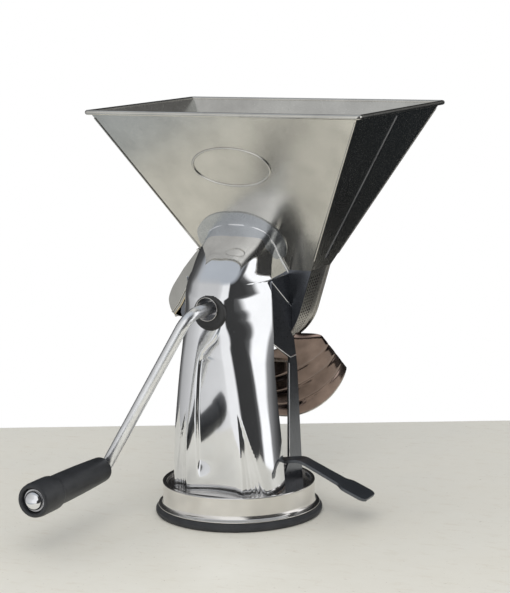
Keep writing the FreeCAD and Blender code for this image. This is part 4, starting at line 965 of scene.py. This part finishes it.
LEVER_THICK, CHEEK_THICK, CHEEK_STARTS = 2.4, 2.2, (6.3, -8.5)
CAM_X, CAM_Z, CAM_RADIUS = 2.598, LEVER_PIN_Z - 1.5, 10.45
LEVER_HALF_WIDTHS = curve([(9.5, 8.4), (20, 8.4), (24, 7.0), (55, 7.0), (88, 8.2),
                           (93.5, 11.6), (97, 12.0), (107.5, 12.0), (110.5, 11.0),
                           (112.3, 8.2)])


def lever_strip():
    """The folded strip with the tab at its end."""
    folds = fillet([(9.5, 41.5), (22, 41.5), (55.2, 46.5), (94.8, 29.0), (112.3, 21.7)], 4.0, 6)
    line = []
    for a, b in zip(folds, folds[1:]):
        count = max(1, int(math.dist(a, b) / 1.2))
        line += [(a[0] + (b[0] - a[0]) * k / count, a[1] + (b[1] - a[1]) * k / count)
                 for k in range(count)]
    line.append(folds[-1])
    verts, faces = [], []
    for i, (x, z) in enumerate(line):
        before = line[max(0, i - 1)]
        after = line[min(len(line) - 1, i + 1)]
        d = Vector((after[0] - before[0], after[1] - before[1])).normalized()
        n = Vector((-d.y, d.x))
        for side in (-1, 1):
            for level in (-0.5, 0.5):
                p = Vector((x, z)) + n * LEVER_THICK * level
                verts.append((p.x, side * LEVER_HALF_WIDTHS(x), p.y))
    for i in range(len(line) - 1):
        a, b = 4 * i, 4 * i + 4
        faces += [(a + 1, a + 3, b + 3, b + 1), (a, b, b + 2, a + 2), (a, a + 1, b + 1, b),
                  (a + 2, b + 2, b + 3, a + 3)]
    e = 4 * (len(line) - 1)
    faces += [(0, 2, 3, 1), (e, e + 1, e + 3, e + 2)]
    return verts, faces


def lever_cheek(start):
    """A cam cheek: an arc about the cam's middle, closed up to the strip."""
    outline = [(CAM_X + CAM_RADIUS * math.cos(t), CAM_Z + CAM_RADIUS * math.sin(t))
               for t in (math.radians(60 + 240 * k / 40) for k in range(41))]
    outline += [(6.5, 28.2), (14, 38.5), (21, 41.6), (21, 44.9), (8, 45.2)]
    verts = [(x, y, z) for y in (start, start + CHEEK_THICK) for x, z in outline]
    n = len(outline)
    faces = [tuple(range(n)), tuple(reversed(range(n, 2 * n)))]
    faces += [(i, n + i, n + (i + 1) % n, (i + 1) % n) for i in range(n)]
    return verts, faces


# The lever's dark finish is painted reflection.
lever = joined("lever_arm", [lever_strip()] + [lever_cheek(start) for start in CHEEK_STARTS],
               LEVER_STEEL, "lever", ["suction_lever"], sharp=30)
bevel(lever, 0.35)


# ---- side plates

PANEL_X = 36.6

for side, label in ((1, "right"), (-1, "left")):
    at = side * PANEL_X
    ridge = [(at, -11.5, 187.0), (at, 23.4, 162.6)]
    lower = [(at, -11.5, 139.0), (at, 20.2, 122.5), (at, 31.0, 122.3)]
    strap = [(at, 18.4, 118.0), (at, 16.7, 40.0)]
    parts = [sweep(ridge, 0.55, 10), sweep(lower, 0.55, 10), sweep(strap, 0.45, 10)]
    joined("panel_edges_" + label, parts, CHROME, "stand", sharp=60)


# ---- table, light, camera

def stone():
    """Pale clouded stone with veins and small pits."""
    f = Finish("stone", 0.0, 0.45, (0.66, 0.62, 0.53))
    cloud = f.noise(0.012, detail=6.0)
    tone = f.mixed(f.span(cloud, 0.3, 0.7), (0.80, 0.775, 0.69), (0.73, 0.70, 0.61))
    vein = f.noise(0.05, stretch=(1, 2.5, 1), detail=8.0, rough=0.65)
    tone = f.mixed(f.span(vein, 0.55, 0.75, 0.0, 0.45), tone, (0.62, 0.55, 0.44))
    pit = f.noise(0.45, stretch=(0.6, 1.4, 1), detail=2.0)
    tone = f.mixed(f.span(pit, 0.70, 0.74, 0.0, 0.6), tone, (0.26, 0.20, 0.14))
    f.color(tone)
    f.roughness(f.span(cloud, 0.3, 0.7, 0.35, 0.55))
    f.bump(pit, 0.05)
    return f.material


CAMERA_AT = Vector((0.6371, -1.2807, 0.4107))
AZIMUTH, ELEVATION, ROLL = (math.radians(a) for a in (25.85, 9.5, -0.83))
VIEW_FLAT = Vector((-math.sin(AZIMUTH), math.cos(AZIMUTH), 0))
SIDE_FLAT = Vector((math.cos(AZIMUTH), math.sin(AZIMUTH), 0))
TABLE_DEPTH = 1.72

# The metal mirrors the top only; the spread under it carries on outside that part.
far = CAMERA_AT + VIEW_FLAT * TABLE_DEPTH
far_right, far_left, far_near = (
    tuple(Vector((far.x, far.y, 0)) + SIDE_FLAT * w) for w in (1.6, -0.45, 0.3))
stone_finish = stone()
for name, verts, mirrored_in_metal in (
        ("table_top", [(-0.522, 0.069, 0), (-0.075, -0.289, 0), (0.29, -0.145, 0), far_near,
                       far_left], True),
        ("table_spread", [(-0.522, 0.069, -0.0003), (0.833, -1.015, -0.0003), far_right,
                          far_left], False)):
    mesh = bpy.data.meshes.new(name)
    mesh.from_pydata(verts, [], [tuple(range(len(verts)))])
    mesh.materials.append(stone_finish)
    table = bpy.data.objects.new(name, mesh)
    table.visible_glossy = mirrored_in_metal
    bpy.context.scene.collection.objects.link(table)

world = bpy.data.worlds.new("studio")
bpy.context.scene.world = world
world.use_nodes = True
tree = world.node_tree
for item in list(tree.nodes):
    tree.nodes.remove(item)
output = tree.nodes.new("ShaderNodeOutputWorld")
coords = tree.nodes.new("ShaderNodeTexCoord")
split = tree.nodes.new("ShaderNodeSeparateXYZ")
tree.links.new(coords.outputs["Generated"], split.inputs[0])


def world_math(operation, a, b=0.0):
    """A math node on numbers or sockets."""
    item = tree.nodes.new("ShaderNodeMath")
    item.operation = operation
    for value, socket in ((a, item.inputs[0]), (b, item.inputs[1])):
        if isinstance(value, (int, float)):
            socket.default_value = value
        else:
            tree.links.new(value, socket)
    return item.outputs[0]


def world_ramp(source, stops):
    """A colour ramp over a socket; a stop's value is a grey or a colour."""
    item = tree.nodes.new("ShaderNodeValToRGB")
    ramp = item.color_ramp
    ramp.elements.remove(ramp.elements[-1])
    for index, (position, value) in enumerate(stops):
        element = ramp.elements.new(position) if index else ramp.elements[0]
        element.position = position
        shade = value if isinstance(value, tuple) else (value, value, value)
        element.color = (*shade, 1)
    tree.links.new(source, item.inputs[0])
    return item.outputs[0]


def world_mix(factor, first, second):
    """A colour mix of two colours or sockets."""
    item = tree.nodes.new("ShaderNodeMix")
    item.data_type = "RGBA"
    tree.links.new(factor, item.inputs["Factor"])
    for value, socket in ((first, item.inputs[6]), (second, item.inputs[7])):
        if isinstance(value, tuple):
            socket.default_value = (*value, 1)
        else:
            tree.links.new(value, socket)
    return item.outputs[2]


# The metal mirrors a ring of light and dark fields that goes by heading and turns a
# little with elevation; above it is a plain grey ceiling and below it a lower ring.
TWIST = 21.0 / 360.0

turn = world_math("ARCTAN2", split.outputs["X"], world_math("MULTIPLY", split.outputs["Y"], -1.0))
flat_around = world_math("ADD", world_math("DIVIDE", turn, 2 * math.pi), 0.5)


def heading(degrees):
    """Ramp position of a heading counted from -Y towards +X."""
    return degrees / 360.0 + 0.5


twist = world_ramp(world_math("ADD", split.outputs["Z"], 0.5), [
    (0.0, 0.0), (0.36, 0.0), (0.64, 1.0), (1.0, 1.0)])
around = world_math("SUBTRACT", flat_around, world_math("MULTIPLY", twist, TWIST))
ring = world_ramp(around, [
    (heading(-179), 0.012), (heading(-160), 0.03), (heading(-125), 0.09), (heading(-112), 0.20),
    (heading(-97), 0.46), (heading(-60), 0.60), (heading(-32), 0.76), (heading(-20), 0.98),
    (heading(13), 1.02), (heading(20), 0.045), (heading(68), 0.05), (heading(78), 0.12),
    (heading(85), 1.2), (heading(114), 1.2), (heading(121), 0.30), (heading(137), 0.12),
    (heading(150), 0.05), (heading(165), (0.010, 0.013, 0.016)),
    (heading(179), (0.009, 0.012, 0.014))])
above = world_ramp(split.outputs["Z"], [(0.0, 0.0), (0.60, 0.0), (0.82, 1.0), (1.0, 1.0)])
sky = world_mix(above, ring, (0.50, 0.53, 0.57))
under = world_ramp(world_math("ADD", split.outputs["Z"], 0.5), [
    (0.0, 1.0), (0.09, 1.0), (0.14, 0.0), (1.0, 0.0)])
low_ring = world_ramp(flat_around, [
    (heading(-179), 0.012), (heading(-130), 0.05), (heading(-100), (0.40, 0.43, 0.45)),
    (heading(8), (0.44, 0.47, 0.49)), (heading(16), 0.05), (heading(130), 0.012),
    (heading(179), 0.012)])
mirrored = world_mix(under, sky, low_ring)
rays = tree.nodes.new("ShaderNodeLightPath")
soft = world_mix(rays.outputs["Is Glossy Ray"], (0.86, 0.88, 0.92), mirrored)
seen = world_mix(rays.outputs["Is Camera Ray"], soft, (1.0, 1.0, 1.0))
background = tree.nodes.new("ShaderNodeBackground")
tree.links.new(seen, background.inputs["Color"])
background.inputs["Strength"].default_value = 1.0
tree.links.new(background.outputs[0], output.inputs["Surface"])


def area_light(name, place, aim, size, energy, color):
    """A rectangular lamp that looks from its place to its aim and isn't mirrored."""
    lamp = bpy.data.lights.new(name, "AREA")
    lamp.shape = "RECTANGLE"
    lamp.size, lamp.size_y = size
    lamp.energy = energy
    lamp.color = color
    obj = bpy.data.objects.new(name, lamp)
    obj.location = place
    obj.rotation_euler = (Vector(aim) - Vector(place)).to_track_quat("-Z", "Y").to_euler()
    obj.visible_glossy = False
    bpy.context.scene.collection.objects.link(obj)


area_light("key", (0.45, -1.15, 1.15), (0.05, -0.1, 0.0), (0.9, 0.9), 8.6, (1.0, 0.985, 0.96))

SENSOR_MM, LENS_MM = 36.0, 112.870624

camera_data = bpy.data.cameras.new("camera")
camera_data.sensor_width = SENSOR_MM
camera_data.lens = LENS_MM
camera_data.clip_start = 0.01
camera = bpy.data.objects.new("camera", camera_data)
behind = Vector((math.sin(AZIMUTH) * math.cos(ELEVATION),
                 -math.cos(AZIMUTH) * math.cos(ELEVATION), math.sin(ELEVATION)))
right_hand = Vector((math.cos(AZIMUTH), math.sin(AZIMUTH), 0))
upward = behind.cross(right_hand)
rolled_right = right_hand * math.cos(ROLL) + upward * math.sin(ROLL)
rolled_up = upward * math.cos(ROLL) - right_hand * math.sin(ROLL)
turned = Matrix((rolled_right, rolled_up, behind)).transposed().to_4x4()
camera.matrix_world = Matrix.Translation(CAMERA_AT) @ turned
bpy.context.scene.collection.objects.link(camera)
bpy.context.scene.camera = camera
bpy.context.scene.view_settings.view_transform = "Standard"
